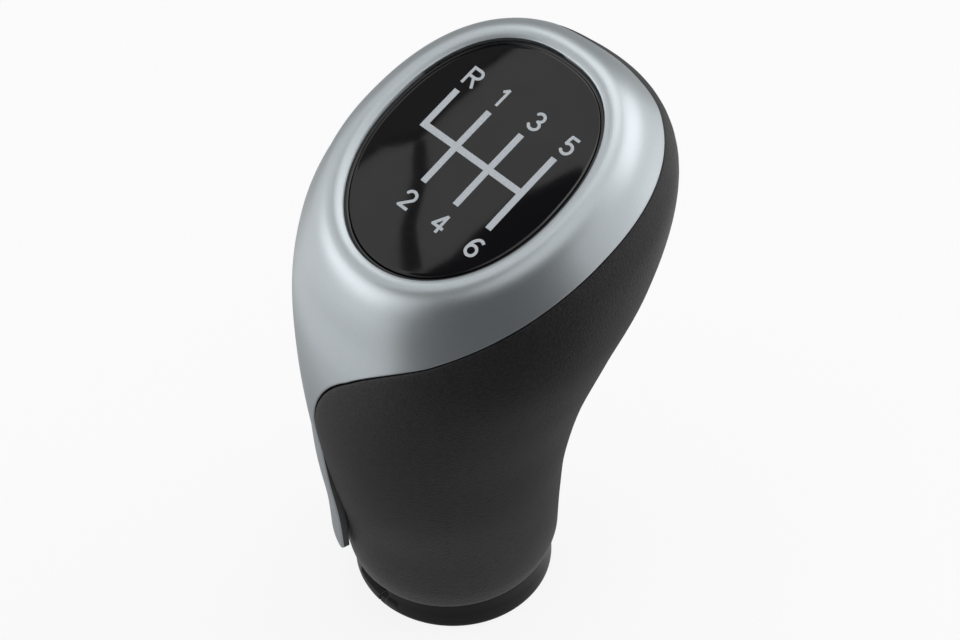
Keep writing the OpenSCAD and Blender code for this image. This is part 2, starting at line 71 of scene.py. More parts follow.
class MeshMaker:
    """Turns millimetre points and faces into pieces that ride on the knob."""

    @staticmethod
    def piece(
        name: str,
        points: Array,
        faces: Iterable[Sequence[int]],
        crease: float = 40.0,
        bare: Union[Iterable[bool], None] = None,
    ) -> bpy.types.Object:
        """Makes one smooth-shaded piece with outward faces.

        Args:
            name: Name of the piece.
            points: Points in millimetres, one row each.
            faces: Corner indices of each face.
            crease: Angle in degrees above which an edge is shaded sharp.
            bare: Whether each face is left without paint, kept as an attribute of that name.

        Returns:
            The new object, linked to the scene and riding on the body.
        """
        mesh = bpy.data.meshes.new(name)
        mesh.from_pydata((np.asarray(points, float) * MM).tolist(), [], [list(f) for f in faces])
        work = bmesh.new()
        work.from_mesh(mesh)
        if bare is not None:
            layer = work.faces.layers.float.new("bare")
            for face, mark in zip(work.faces, bare):
                face[layer] = float(mark)
        bmesh.ops.remove_doubles(work, verts=work.verts, dist=WELD)
        bmesh.ops.recalc_face_normals(work, faces=work.faces)
        work.to_mesh(mesh)
        work.free()
        mesh.polygons.foreach_set("use_smooth", [True] * len(mesh.polygons))
        mesh.set_sharp_from_angle(angle=math.radians(crease))
        mesh.update()
        made = bpy.data.objects.new(name, mesh)
        bpy.context.scene.collection.objects.link(made)
        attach(made, BODY)
        LOG.info("%s: %d faces", name, len(mesh.polygons))
        return made

    @staticmethod
    def band_faces(start: int, rings: int, around: int) -> Faces:
        """Faces between closed rings of points that follow each other.

        Args:
            start: Index of the first ring's first point.
            rings: Number of rings.
            around: Points on each ring.

        Returns:
            The faces, ring by ring.
        """
        faces = []
        for low in range(start, start + (rings - 1) * around, around):
            for c in range(around):
                d = (c + 1) % around
                faces.append([low + c, low + d, low + around + d, low + around + c])
        return faces

    @staticmethod
    def disc_faces(rings: int, around: int, middle: int) -> Faces:
        """Faces of concentric rings of points that close on one middle point.

        Args:
            rings: Number of rings.
            around: Points on each ring.
            middle: Index of the middle point.

        Returns:
            The bands between the rings, then the triangles to the middle.
        """
        last = (rings - 1) * around
        fan = [[last + c, last + (c + 1) % around, middle] for c in range(around)]
        return MeshMaker.band_faces(0, rings, around) + fan

    @staticmethod
    def tube(path: Array, radius: Union[float, Array], sides: int = 8) -> tuple[Array, Faces]:
        """A capped tube along a path.

        Args:
            path: Points of the centre line.
            radius: One radius, or one for each point.
            sides: Points round the tube.

        Returns:
            The points and faces of the tube.
        """
        radii = np.broadcast_to(radius, (len(path),))
        way = np.gradient(path, axis=0)
        way /= np.linalg.norm(way, axis=1)[:, None]
        side = np.cross(way, ASIDE)
        side /= np.linalg.norm(side, axis=1)[:, None]
        over = np.cross(way, side)
        turn = np.arange(sides) * 2 * math.pi / sides
        rings = [
            p + r * (np.outer(np.cos(turn), s) + np.outer(np.sin(turn), o))
            for p, r, s, o in zip(path, radii, side, over)
        ]
        n = len(path)
        faces = MeshMaker.band_faces(0, n, sides)
        faces += [list(range(sides))[::-1], list(range((n - 1) * sides, n * sides))]
        return np.vstack(rings), faces

    @staticmethod
    def join(parts: Iterable[tuple[Array, Faces]]) -> tuple[Array, Faces]:
        """Puts several sets of points and faces together as one.

        Args:
            parts: Points and faces of each set.

        Returns:
            The points and faces of all.
        """
        points: list[Array] = []
        faces: Faces = []
        start = 0
        for some, of_them in parts:
            points.append(some)
            faces += [[i + start for i in f] for f in of_them]
            start += len(some)
        return np.vstack(points), faces


# The grip's skin


def smooth(low: float, high: float, value: Array) -> Array:
    """Smooth step of a value from 0 at the lower bound to 1 at the upper."""
    t = np.clip((value - low) / (high - low), 0, 1)
    return t * t * (3 - 2 * t)


@dataclass(frozen=True)
class Head:
    """The tilted frame of the knob's top, whose XY plane is the plane of the gate pattern."""

    tilt: float = 19.3
    centre: tuple[float, float] = (4.7, 85.2)
    crest_half: tuple[float, float] = (19.7, 23.3)
    crest_rise: float = 1.3
    mouth_half: tuple[float, float] = (15.95, 20.2)
    mouth_rise: float = 0.1
    full_front: float = 2.35
    full_rear: float = 2.05

    def section(self, rise: float, half: tuple[float, float]) -> list[float]:
        """A grip section on the head's axis, at a height over the pattern's plane."""
        t = math.radians(self.tilt)
        return [self.centre[1] + rise * math.cos(t), self.centre[0] - rise * math.sin(t), *half]

    def place(self, local: Array) -> Array:
        """Points of the head's frame in the knob's own frame."""
        t = math.radians(self.tilt)
        x, y, z = np.moveaxis(np.asarray(local, float), -1, 0)
        depth = self.centre[0] + y * math.cos(t) - z * math.sin(t)
        height = self.centre[1] + y * math.sin(t) + z * math.cos(t)
        return np.stack([x, depth, height], axis=-1)

    def oval(
        self, half: Sequence[Any], angle: Array, front: Any = None, rear: Any = None
    ) -> tuple[Array, Array]:
        """A point of the oval, an ellipse whose two ends can be fuller.

        Args:
            half: Half width and half length, each a number or an array.
            angle: Angles in degrees.
            front: Fullness at the front, or the head's own.
            rear: Fullness at the rear, or the head's own.

        Returns:
            Its two coordinates.
        """
        a = np.radians(angle)
        c, s = np.cos(a), np.sin(a)
        ahead = self.full_front if front is None else front
        behind = self.full_rear if rear is None else rear
        power = 2 / np.where(s > 0, ahead, behind)
        return half[0] * np.sign(c) * np.abs(c) ** power, half[1] * np.sign(s) * np.abs(s) ** power


@dataclass(frozen=True)
class GripSkin:
    """The skin that leather and trim share, by section number, counted upward, and angle.

    Up to a section it is the loft of the solids, and above it one broad round to the mouth's lip.
    """

    head: Head = Head()
    lower: tuple[tuple[float, float, float, float], ...] = (
        (7.2, -0.2, 16.5, 16.8),
        (18.8, -1.0, 17.6, 17.6),
        (30.4, -1.9, 19.1, 19.2),
        (42.0, -0.8, 20.8, 21.9),
        (53.6, 2.0, 23.6, 25.3),
        (65.2, 5.5, 26.4, 28.5),
        (74.5, 7.5, 26.1, 29.7),
        (81.5, 5.7, 22.7, 27.1),
    )
    tilt_from: float = 28.0
    tilt_power: float = 1.3
    full_from: float = 5.0
    full_span: float = 3.0
    probe: float = 0.05
    crest_k: int = 8
    mouth_k: int = 9
    round_from: float = 7.2
    round_probe: float = 0.04
    round_handles: tuple[float, float] = (0.7, 0.2)
    lip_falls: float = 30.0
    lip_grow: float = 0.6
    lip_rise: float = 0.74
    lip_shift: tuple[float, float] = (0.15, -0.15)

    @property
    def sections(self) -> Array:
        """All ten sections: height, centre Y, half width X and half depth Y."""
        h = self.head
        upper = (h.section(h.crest_rise, h.crest_half), h.section(h.mouth_rise, h.mouth_half))
        return np.array([*self.lower, *upper])

    def section_at(self, k: Array) -> Array:
        """The section at k, on a Catmull-Rom spline through all of them.

        Args:
            k: Section numbers, whole or between two.

        Returns:
            Height, centre Y, half width X and half depth Y of each.
        """
        s = self.sections
        s = np.vstack([2 * s[0] - s[1], s, 2 * s[-1] - s[-2]])
        i = np.clip(np.floor(k), 0, self.mouth_k - 1).astype(int)
        f = (k - i)[..., None]
        a, b, c, d = s[i], s[i + 1], s[i + 2], s[i + 3]
        square = (2 * a - 5 * b + 4 * c - d) * f**2
        cube = (3 * b - a - 3 * c + d) * f**3
        return 0.5 * (2 * b + (c - a) * f + square + cube)

    def k_at(self, height: Any) -> Array:
        """Section number at a height on the axis."""
        return np.interp(height, self.sections[: self.crest_k + 1, 0], np.arange(self.crest_k + 1))

    def point(self, k: Any, angle: Any) -> Array:
        """Points of the skin: the loft, and above it the broad round over the crest to the lip.

        Args:
            k: Section numbers.
            angle: Angles in degrees, in the oval's own sense.

        Returns:
            One point for each pair.
        """
        k, angle = np.broadcast_arrays(np.asarray(k, float), np.asarray(angle, float))
        start = self.loft(np.minimum(k, self.round_from), angle)
        if (k <= self.round_from).all():
            return start
        leaves = self.loft(self.round_from, angle) - self.loft(self.round_from - self.round_probe, angle)
        leaves /= np.linalg.norm(leaves, axis=-1)[..., None]
        half = np.array(self.head.mouth_half)
        x, y = self.head.oval(half + self.lip_grow, angle)
        rise = np.full(x.shape, self.lip_rise)
        end = self.head.place(np.stack([x + self.lip_shift[0], y + self.lip_shift[1], rise], axis=-1))
        inward = -np.stack([x / half[0] ** 2, y / half[1] ** 2], axis=-1)
        inward /= np.linalg.norm(inward, axis=-1)[..., None]
        falls = math.radians(self.lip_falls)
        down = np.concatenate([inward * math.cos(falls), np.full((*x.shape, 1), -math.sin(falls))], axis=-1)
        lands = self.head.place(down) - self.head.place(np.zeros(3))
        reach = np.linalg.norm(end - start, axis=-1)[..., None]
        first = start + self.round_handles[0] * reach * leaves
        second = end - self.round_handles[1] * reach * lands
        u = ((k - self.round_from) / (self.mouth_k - self.round_from))[..., None]
        arc = (1 - u) ** 3 * start + 3 * u * (1 - u) ** 2 * first
        arc = arc + 3 * u * u * (1 - u) * second + u**3 * end
        return np.where(u > 0, arc, start)

    def loft(self, k: Any, angle: Any) -> Array:
        """Points of the loft through the sections.

        Args:
            k: Section numbers.
            angle: Angles in degrees, in the oval's own sense.

        Returns:
            One point for each pair.
        """
        k, angle = np.broadcast_arrays(np.asarray(k, float), np.asarray(angle, float))
        s = self.section_at(k)
        top = self.head.section(self.head.crest_rise, self.head.crest_half)[0]
        z = np.where(k > self.crest_k, top, s[..., 0])
        share = np.clip((z - self.tilt_from) / (top - self.tilt_from), 0, 1)
        tilt = np.radians(self.head.tilt * share**self.tilt_power)
        full = np.clip((k - self.full_from) / self.full_span, 0, 1)
        front = 2 + (self.head.full_front - 2) * full
        rear = 2 + (self.head.full_rear - 2) * full
        x, y = self.head.oval((s[..., 2], s[..., 3]), angle, front, rear)
        return np.stack([x, s[..., 1] + y * np.cos(tilt), s[..., 0] + y * np.sin(tilt)], axis=-1)

    def outward(self, k: Any, angle: Any) -> Array:
        """Unit normals of the skin, away from the grip.

        Args:
            k: Section numbers.
            angle: Angles in degrees.

        Returns:
            One unit vector for each pair.
        """
        k, angle = np.broadcast_arrays(np.asarray(k, float), np.asarray(angle, float))
        across = self.point(k, angle + 1) - self.point(k, angle - 1)
        above, below = np.minimum(self.mouth_k, k + self.probe), np.maximum(0, k - self.probe)
        normal = np.cross(across, self.point(above, angle) - self.point(below, angle))
        return normal / np.linalg.norm(normal, axis=-1)[..., None]

    def at_depth(self, k: Any, angle: Any, depth: Any) -> Array:
        """Points at a depth under the skin."""
        return self.point(k, angle) - np.asarray(depth)[..., None] * self.outward(k, angle)


@dataclass(frozen=True)
class TrimEdge:
    """The line where the trim meets the leather: sides, rise at the front, skirt and standing tail.

    Columns are angles from the tail's middle. Below the skirt they fan out with the tail.
    """

    skin: GripSkin = GripSkin()
    side_h: float = 80.2
    front_rise: float = 4.6
    front_spread: float = 38.0
    front_turn: float = 6.0
    far_dip: float = 1.4
    tail_at: float = -124.0
    skirt_drop: float = 36.2
    skirt_fade: float = 27.5
    dips: tuple[float, float] = (105.0, 175.0)
    root: float = 13.8
    wide: float = 18.4
    widens: tuple[float, float] = (46.0, 28.0)
    fan_reach: float = 4.0
    lean: float = 0.8
    tip_h: float = 10.9
    tip_bow: float = 0.5
    tip_corner: float = 1.0
    tip_radius: float = 17.6
    leaves_h: float = 38.0
    leather_h: float = 19.0
    lift: float = 2.0
    wall: float = 1.6
    tail_wall: float = 1.2
    seam_turn: float = 0.55
    gap: float = 0.02

    @property
    def root_h(self) -> float:
        """Height on the axis where the skirt meets the tail."""
        return self.side_h - self.skirt_drop

    def off(self, columns: Array) -> Array:
        """Angle from the tail's middle, either way."""
        return np.minimum(columns, 360 - columns)

    def azimuth(self, columns: Array, k: Array) -> Array:
        """Angle about the knob's axis of a column at section k.

        Args:
            columns: Columns in degrees from the tail's middle.
            k: Section numbers.

        Returns:
            Angles in degrees, which fan out and lean with the tail.
        """
        off = self.off(columns)
        height = self.skin.section_at(np.asarray(k, float))[..., 0]
        share = np.clip(off / self.root, 0, 1)
        down = np.clip((self.root_h - height) / (self.root_h - self.tip_h), 0, 1)
        leaned = off - self.lean * share * (off < self.root + TINY) * down
        t = np.clip((self.widens[0] - height) / (self.widens[0] - self.widens[1]), 0, 1)
        widen = (self.wide - self.root) * t * t * (3 - 2 * t)
        beyond = np.maximum(0, 1 - (off - self.root) / (self.fan_reach * self.root))
        fan = np.where(off < self.root, share, beyond)
        return self.tail_at + np.where(columns > 180, -1, 1) * (leaned + widen * fan)

    def skirt_height(self, columns: Array, shift: float = 0.0) -> Array:
        """Height on the axis of the edge away from the tail.

        Args:
            columns: Columns in degrees from the tail's middle.
            shift: Angle by which the skirt is moved away from the tail.

        Returns:
            One height for each column.
        """
        off = self.off(columns) + shift
        azimuth = self.tail_at + columns
        from_front = np.abs((azimuth + 450) % 360 - 180 - self.front_turn)
        wave = (1 + np.cos(np.pi * from_front / self.front_spread)) / 2
        rise = np.where(from_front < self.front_spread, wave, 0)
        dip = self.far_dip * smooth(*self.dips, off)
        skirt = self.skirt_drop * np.exp(-(off - self.root) / self.skirt_fade)
        return self.side_h + self.front_rise * rise - dip - skirt

    def tip_height(self, columns: Array, foot: float, side: float) -> Array:
        """Height on the axis of the edge across the tail.

        Args:
            columns: Columns in degrees from the tail's middle.
            foot: Height of the tip.
            side: Column of the tail's side.

        Returns:
            One height for each column, with the tip's bow and rounded corners.
        """
        off = self.off(columns)
        corner = math.degrees(self.tip_corner / self.tip_radius)
        r = np.clip((off - side) / corner + 1, 0, 1)
        return foot + self.tip_bow * (off / side) ** 2 + self.tip_corner * (1 - np.sqrt(1 - r * r))

    def away(self, k: Array) -> Array:
        """How far the tail has left the grip at section k, from 0 to 1."""
        height = self.skin.section_at(np.asarray(k, float))[..., 0]
        return np.clip((self.leaves_h - height) / (self.leaves_h - self.tip_h), 0, 1)

    def lift_at(self, k: Array, columns: Array) -> Array:
        """Distance that the tail stands off the skin."""
        return (self.off(columns) < self.root) * self.lift * self.away(k)

    def wall_at(self, k: Array, columns: Array) -> Array:
        """Wall of the trim, which thins along the tail."""
        return self.wall + (self.off(columns) < self.root) * (self.tail_wall - self.wall) * self.away(k)


def distance_to(line: Array, points: Array) -> Array:
    """Shortest distance of each point to a closed line.

    Args:
        line: Points of the line, in order.
        points: Points in an array of any shape, whose last axis is x, y and z.

    Returns:
        One distance for each point.
    """
    start, end = line, np.roll(line, -1, axis=0)
    along = end - start
    length = np.maximum((along**2).sum(1), 1e-12)
    flat = points.reshape(-1, 3)
    best = np.full(len(flat), FAR)
    for s, v, n in zip(start, along, length):
        t = np.clip((flat - s) @ v / n, 0, 1)
        best = np.minimum(best, np.linalg.norm(flat - s - t[:, None] * v, axis=1))
    return best.reshape(points.shape[:-1])


def rounding(distance: Array, across: float, down: float) -> Array:
    """Depth of an elliptic edge: full at the edge, none beyond its width."""
    t = 1 - np.clip(distance / across, 0, 1)
    return down * (1 - np.sqrt(np.maximum(0, 1 - t * t)))


@dataclass
class CutShell:
    """Rows and columns of a shell that ends at the trim's edge, with the tail's sides cut cleanly.

    The shell lies above the edge (up = 1) or below it (up = -1). Each column has the edge's k on
    its left and on its right, which differ only at the tail's two sides.
    """

    edge: TrimEdge
    up: int
    side: float
    foot: float
    far_k: float
    shift: float = 0.0
    dense: tuple[tuple[float, float, float], ...] = ()
    near: tuple[float, ...] = (0.0, 0.004, 0.009, 0.016, 0.026, 0.04, 0.06, 0.09, 0.13)
    beside: tuple[float, ...] = (
        0.0, 0.08, 0.18, 0.3, 0.45, 0.65, 0.9, 1.2, 1.6, 2.1, 2.6, 3.1, 3.6, 4.2, 5.0,
    )
    pitch: float = 1.5
    spread: int = 72
    cut_steps: int = 60

    def __post_init__(self) -> None:
        """Works out columns, the cut on both sides of each, and the k of every point."""
        edge, skin = self.edge, self.edge.skin
        half = {*np.arange(0, 180, self.pitch)}
        half |= {self.side + way * step for way in (-1, 1) for step in self.beside}
        angles = {round(float(a), 4) for a in half} | {round(360 - float(a), 4) for a in half if a > 0}
        for middle, span, step in self.dense:
            angles |= {round(float(a) % 360, 4) for a in np.arange(middle - span, middle + span, step)}
        self.columns = np.array(sorted(a for a in angles if a < 360))
        off = edge.off(self.columns)
        skirt = skin.k_at(edge.skirt_height(self.columns, self.shift)) + (edge.gap if self.up > 0 else 0)
        tip = skin.k_at(edge.tip_height(self.columns, self.foot, self.side))
        on_side = np.abs(off - self.side) < TINY
        within = (off < self.side) & ~on_side
        first_half = self.columns < 180
        self.left = np.where(within | (on_side & first_half), tip, skirt)
        self.right = np.where(within | (on_side & ~first_half), tip, skirt)
        reach = np.minimum(self.left * self.up, self.right * self.up) * self.up
        start = tip.min() if self.up > 0 else skirt.max()
        even = np.linspace(start, self.far_k, self.spread)
        common = np.unique(np.concatenate([even, self.left[on_side], self.right[on_side]]))[:: self.up]
        close = reach[:, None] + self.up * np.array(self.near)
        further = np.maximum(common[None, :] * self.up, close[:, -1:] * self.up) * self.up
        further = np.clip(further, *sorted((self.far_k, -FAR * self.up)))
        self.k = np.concatenate([close, further], axis=1)
        self.a = edge.azimuth(self.columns[:, None], self.k)
        self.c = np.broadcast_to(self.columns[:, None], self.k.shape)

    def cut_line(self, lift: bool) -> Array:
        """Points along the whole cut, on the outer surface.

        Args:
            lift: Whether the tail stands off the skin there.

        Returns:
            The points in order round the knob.
        """
        line = []
        for c, left, right in zip(self.columns, self.left, self.right):
            k = np.linspace(left, right, self.cut_steps) if left != right else np.array([left])
            columns = np.full(len(k), c)
            depth = -self.edge.lift_at(k, columns) if lift else np.zeros(len(k))
            line.append(self.edge.skin.at_depth(k, self.edge.azimuth(columns, k), depth))
        return np.vstack(line)

    def row_at(self, c: int, r: int, bound: float) -> int:
        """The row that stands for another one where the cut is at a bound.

        Args:
            c: Column.
            r: The row that is asked for.
            bound: The cut's k there.

        Returns:
            The row itself, or the row at the bound where it lies beyond.
        """
        if self.up * self.k[c, r] >= self.up * bound - 1e-9:
            return r
        return int(np.argmin(np.abs(self.k[c] - bound)))

    def faces(self, outer: int, inner: int) -> Faces:
        """Faces of both surfaces and of the wall along the cut.

        Args:
            outer: Index of the first point of the outer surface, column by column.
            inner: Index of the first point of the inner surface.

        Returns:
            The faces, without those that fold to a line.
        """
        n, rows = self.k.shape
        made: Faces = []
        for c in range(n):
            d = (c + 1) % n
            low, high = self.right[c], self.left[d]
            for r in range(rows - 1):
                corners = [
                    c * rows + self.row_at(c, r, low), d * rows + self.row_at(d, r, high),
                    d * rows + self.row_at(d, r + 1, high), c * rows + self.row_at(c, r + 1, low),
                ]
                for start in (outer, inner):
                    made.append([start + i for i in corners])
            p, q = c * rows + self.row_at(c, 0, low), d * rows + self.row_at(d, 0, high)
            made.append([outer + p, outer + q, inner + q, inner + p])
            if self.left[c] != self.right[c]:
                ends = sorted(self.row_at(c, 0, bound) for bound in (self.left[c], self.right[c]))
                for r in range(*ends):
                    i = c * rows + r
                    made.append([outer + i, outer + i + 1, inner + i + 1, inner + i])
        folded = [list(dict.fromkeys(f)) for f in made]
        return [f for f in folded if len(f) > 2]


# Shader maths


class Wire:
    """A socket in an expression, whose operators add Math nodes."""

    def __init__(self, shader: "Shader", socket: bpy.types.NodeSocket) -> None:
        """Wraps a socket of a shader.

        Args:
            shader: The shader that the socket's node is in.
            socket: An output of a node.
        """
        self.shader, self.socket = shader, socket

    def __add__(self, other: "Operand") -> "Wire":
        """Sum."""
        return self.shader.math("ADD", self, other)

    def __radd__(self, other: "Operand") -> "Wire":
        """Sum, with this on the right."""
        return self.shader.math("ADD", other, self)

    def __sub__(self, other: "Operand") -> "Wire":
        """Difference."""
        return self.shader.math("SUBTRACT", self, other)

    def __rsub__(self, other: "Operand") -> "Wire":
        """Difference, with this on the right."""
        return self.shader.math("SUBTRACT", other, self)

    def __mul__(self, other: "Operand") -> "Wire":
        """Product."""
        return self.shader.math("MULTIPLY", self, other)

    def __rmul__(self, other: "Operand") -> "Wire":
        """Product, with this on the right."""
        return self.shader.math("MULTIPLY", other, self)

    def __gt__(self, other: "Operand") -> "Wire":
        """1 where this is the greater, otherwise 0."""
        return self.shader.math("GREATER_THAN", self, other)


Operand = Union[Wire, Number]


class Shader:
    """A material's node tree, built by expressions."""

    def __init__(self, name: str) -> None:
        """Makes a material with only a Principled BSDF and its output."""
        self.material = bpy.data.materials.new(name)
        self.material.use_nodes = True
        self.tree = self.material.node_tree
        self.tree.nodes.clear()
        self.surface = self.node("ShaderNodeBsdfPrincipled", {}, {})
        self.output = self.node("ShaderNodeOutputMaterial", {}, {"Surface": self.out(self.surface, "BSDF")})

    def node(self, kind: str, settings: dict[str, Any], sockets: dict[Any, Any]) -> bpy.types.Node:
        """Adds one node of any type.

        Args:
            kind: The node's type.
            settings: Its own settings, set first; a ramp's stops are under "stops".
            sockets: Value or wire of each input, by name or number.

        Returns:
            The node.
        """
        made = self.tree.nodes.new(kind)
        for key, value in settings.items():
            if key == "stops":
                ramp = made.color_ramp
                while len(ramp.elements) < len(value):
                    ramp.elements.new(0.5)
                for stop, (at, shade) in zip(ramp.elements, value):
                    stop.position, stop.color = at, (shade, shade, shade, 1)
            else:
                setattr(made, key, value)
        for key, value in sockets.items():
            self.feed(made.inputs[key], value)
        return made

    def feed(self, socket: bpy.types.NodeSocket, value: Any) -> None:
        """Links a wire to a socket, or sets its value.

        Args:
            socket: An input of a node.
            value: A wire, a number, or a colour of three numbers.
        """
        if isinstance(value, Wire):
            self.tree.links.new(value.socket, socket)
        elif isinstance(value, (tuple, list)) and socket.type == "RGBA":
            socket.default_value = (*value[:3], 1)
        else:
            socket.default_value = value

    def out(self, node: bpy.types.Node, name: Union[str, int]) -> Wire:
        """A node's output as a wire."""
        return Wire(self, node.outputs[name])

    def math(self, operation: str, left: Operand, right: Operand = 0.0) -> Wire:
        """One Math node."""
        return self.out(self.node("ShaderNodeMath", {"operation": operation}, {0: left, 1: right}), 0)

    def place(self) -> Wire:
        """Object coordinates, in metres."""
        return self.out(self.node("ShaderNodeTexCoord", {}, {}), "Object")

    def noise(self, scale: float, detail: float = 2.0, rough: float = 0.5) -> Wire:
        """Noise from 0 to 1 with a scale per metre."""
        sockets = {"Vector": self.place(), "Scale": scale, "Detail": detail, "Roughness": rough}
        return self.out(self.node("ShaderNodeTexNoise", {}, sockets), "Fac")

    def cells(self, scale: float, feature: str = "F1") -> Wire:
        """Distances in a Voronoi pattern with a scale per metre."""
        sockets = {"Vector": self.place(), "Scale": scale}
        return self.out(self.node("ShaderNodeTexVoronoi", {"feature": feature}, sockets), "Distance")

    def ramp(self, value: Wire, stops: Sequence[tuple[float, float]]) -> Wire:
        """A value through a ramp of grey stops."""
        return self.out(self.node("ShaderNodeValToRGB", {"stops": stops}, {"Fac": value}), "Color")

    def mix(self, factor: Operand, low: Any, high: Any) -> Wire:
        """Two colours mixed by a factor."""
        made = self.node("ShaderNodeMix", {"data_type": "RGBA"}, {0: factor, 6: low, 7: high})
        return self.out(made, 2)

    def bump(self, height: Wire, strength: float, distance: float) -> Wire:
        """A normal from a height, with the distance in metres."""
        sockets = {"Height": height, "Strength": strength, "Distance": distance}
        return self.out(self.node("ShaderNodeBump", {}, sockets), "Normal")

    def dress(self, **sockets: Any) -> bpy.types.Material:
        """Feeds the Principled BSDF and returns the material. An underscore in a name is a space."""
        for key, value in sockets.items():
            self.feed(self.surface.inputs[key.replace("_", " ")], value)
        return self.material


Colour = tuple[float, float, float]


class Finish:
    """A finish that makes its material once."""

    name: str

    def make(self) -> bpy.types.Material:
        """The finish's material."""
        raise NotImplementedError

    def material(self) -> bpy.types.Material:
        """The material, made when it is first asked for."""
        return bpy.data.materials.get("finish_" + self.name) or self.make()

    def onto(self, *pieces: bpy.types.Object) -> None:
        """Gives the finish to pieces."""
        for piece in pieces:
            piece.data.materials.clear()
            piece.data.materials.append(self.material())


@dataclass(frozen=True)
class SatinSilver(Finish):
    """Satin silver paint: fine metal flake under a dull lacquer."""

    name: str = "satin_silver"
    base: Colour = (0.50, 0.54, 0.56)
    deep: Colour = (0.44, 0.48, 0.505)
    plastic: Colour = (0.022, 0.022, 0.024)

    def make(self) -> bpy.types.Material:
        """The finish's material."""
        s = Shader("finish_" + self.name)
        flake = s.noise(9000, 1, 0.6)
        cloud = s.noise(60, 3)
        bare = s.out(s.node("ShaderNodeAttribute", {"attribute_name": "bare"}, {}), "Fac") > 0.5
        paint = s.mix(s.ramp(flake, [(0.3, 0.0), (0.7, 1.0)]), self.deep, self.base)
        colour = s.mix(bare, paint, self.plastic)
        rough = 0.35 + 0.03 * cloud + 0.05 * flake + 0.1 * bare
        normal = s.bump(flake, 0.12, 0.00002)
        return s.dress(Base_Color=colour, Metallic=0.9 * (1.0 - bare), Roughness=rough, Normal=normal)


@dataclass(frozen=True)
class GrainLeather(Finish):
    """Charcoal leather with a fine, flat grain of creases between small plates."""

    name: str = "grain_leather"
    base: Colour = (0.0066, 0.0061, 0.0072)
    worn: Colour = (0.019, 0.0179, 0.0204)

    def make(self) -> bpy.types.Material:
        """The finish's material."""
        s = Shader("finish_" + self.name)
        plates = s.cells(1500, "DISTANCE_TO_EDGE")
        crease = s.ramp(plates, [(0.0, 0.0), (0.12, 1.0)])
        pores = s.ramp(s.cells(3100), [(0.1, 0.0), (0.42, 1.0)])
        folds = s.noise(1300, 3, 0.6)
        cloud = s.noise(70, 3)
        speck = s.ramp(s.noise(2300, 2, 0.7), [(0.36, 0.0), (0.64, 1.0)])
        colour = s.mix(0.35 * cloud + 0.65 * speck, self.base, self.worn)
        height = 0.5 * crease + 0.3 * pores + 0.3 * folds
        rough = 0.47 + 0.1 * cloud - 0.05 * crease
        return s.dress(
            Base_Color=colour,
            Roughness=rough,
            Specular_IOR_Level=0.32,
            Normal=s.bump(height, 0.6, 0.00009),
        )


@dataclass(frozen=True)
class MouldedPlastic(Finish):
    """Moulded plastic with the fine texture of its tool."""

    name: str = "black_plastic"
    base: Colour = (0.003, 0.003, 0.0034)
    rough: float = 0.36
    grain: float = 2600.0
    depth: float = 0.22
    gloss: float = 0.1

    def make(self) -> bpy.types.Material:
        """The finish's material."""
        s = Shader("finish_" + self.name)
        grain = s.noise(self.grain, 3, 0.6)
        cloud = s.noise(110, 3)
        lighter = tuple(min(1.0, c * 1.35) for c in self.base)
        colour = s.mix(cloud, self.base, lighter)
        rough = self.rough + 0.12 * cloud
        normal = s.bump(grain, self.depth, 0.00003)
        return s.dress(Base_Color=colour, Roughness=rough, Specular_IOR_Level=self.gloss, Normal=normal)


@dataclass(frozen=True)
class GlossBlack(Finish):
    """Polished black of the badge, with the faint waviness of a lacquered face."""

    name: str = "gloss_black"
    base: Colour = (0.0035, 0.0035, 0.0045)

    def make(self) -> bpy.types.Material:
        """The finish's material."""
        s = Shader("finish_" + self.name)
        wave = s.noise(75, 1, 0.4)
        haze = s.noise(900, 3)
        rough = 0.03 + 0.03 * haze
        return s.dress(Base_Color=self.base, Roughness=rough, Normal=s.bump(wave, 0.25, 0.0002))


@dataclass(frozen=True)
class PalePrint(Finish):
    """Pale grey printing ink under a clear coat."""

    name: str = "pale_print"
    base: Colour = (0.55, 0.59, 0.63)
    thin: Colour = (0.47, 0.51, 0.545)

    def make(self) -> bpy.types.Material:
        """The finish's material."""
        s = Shader("finish_" + self.name)
        dots = s.ramp(s.noise(5200, 2), [(0.35, 0.0), (0.6, 1.0)])
        return s.dress(
            Base_Color=s.mix(dots, self.thin, self.base), Roughness=0.3, Normal=s.bump(dots, 0.05, 0.00001)
        )


@dataclass(frozen=True)
class Steel(Finish):
    """Bright zinc-plated steel."""

    name: str = "steel"

    def make(self) -> bpy.types.Material:
        """The finish's material."""
        s = Shader("finish_" + self.name)
        cloud = s.noise(500, 4, 0.6)
        colour = s.mix(cloud, (0.50, 0.50, 0.49), (0.66, 0.66, 0.68))
        return s.dress(Base_Color=colour, Metallic=1.0, Roughness=0.26 + 0.16 * cloud)


@dataclass(frozen=True)
class Foam(Finish):
    """Dark foam of the adhesive pad, with open cells whose pits are painted darker, painted shade in the
    hollows.
    """

    name: str = "foam_pad"

    def make(self) -> bpy.types.Material:
        """The finish's material."""
        s = Shader("finish_" + self.name)
        cells = s.ramp(s.cells(2600), [(0.1, 0.0), (0.5, 1.0)])
        # painted shade: the base colour is darker in the pits of the cells, where the bump sinks them
        colour = s.mix(cells, (0.03, 0.03, 0.032), (0.085, 0.085, 0.09))
        return s.dress(Base_Color=colour, Roughness=0.9, Normal=s.bump(cells, 0.6, 0.00015))


class PlasticKind(Enum):
    """The moulded finishes of the knob's plain parts."""

    BLACK = MouldedPlastic()
    CORE = MouldedPlastic("core_plastic", (0.02, 0.02, 0.022), 0.5, 1400.0, 0.3)
    NYLON = MouldedPlastic("sleeve_nylon", (0.03, 0.03, 0.032), 0.45, 1800.0, 0.2)
    RUBBER = MouldedPlastic("black_rubber", (0.014, 0.014, 0.014), 0.75, 2200.0, 0.5)


# Leather and trim


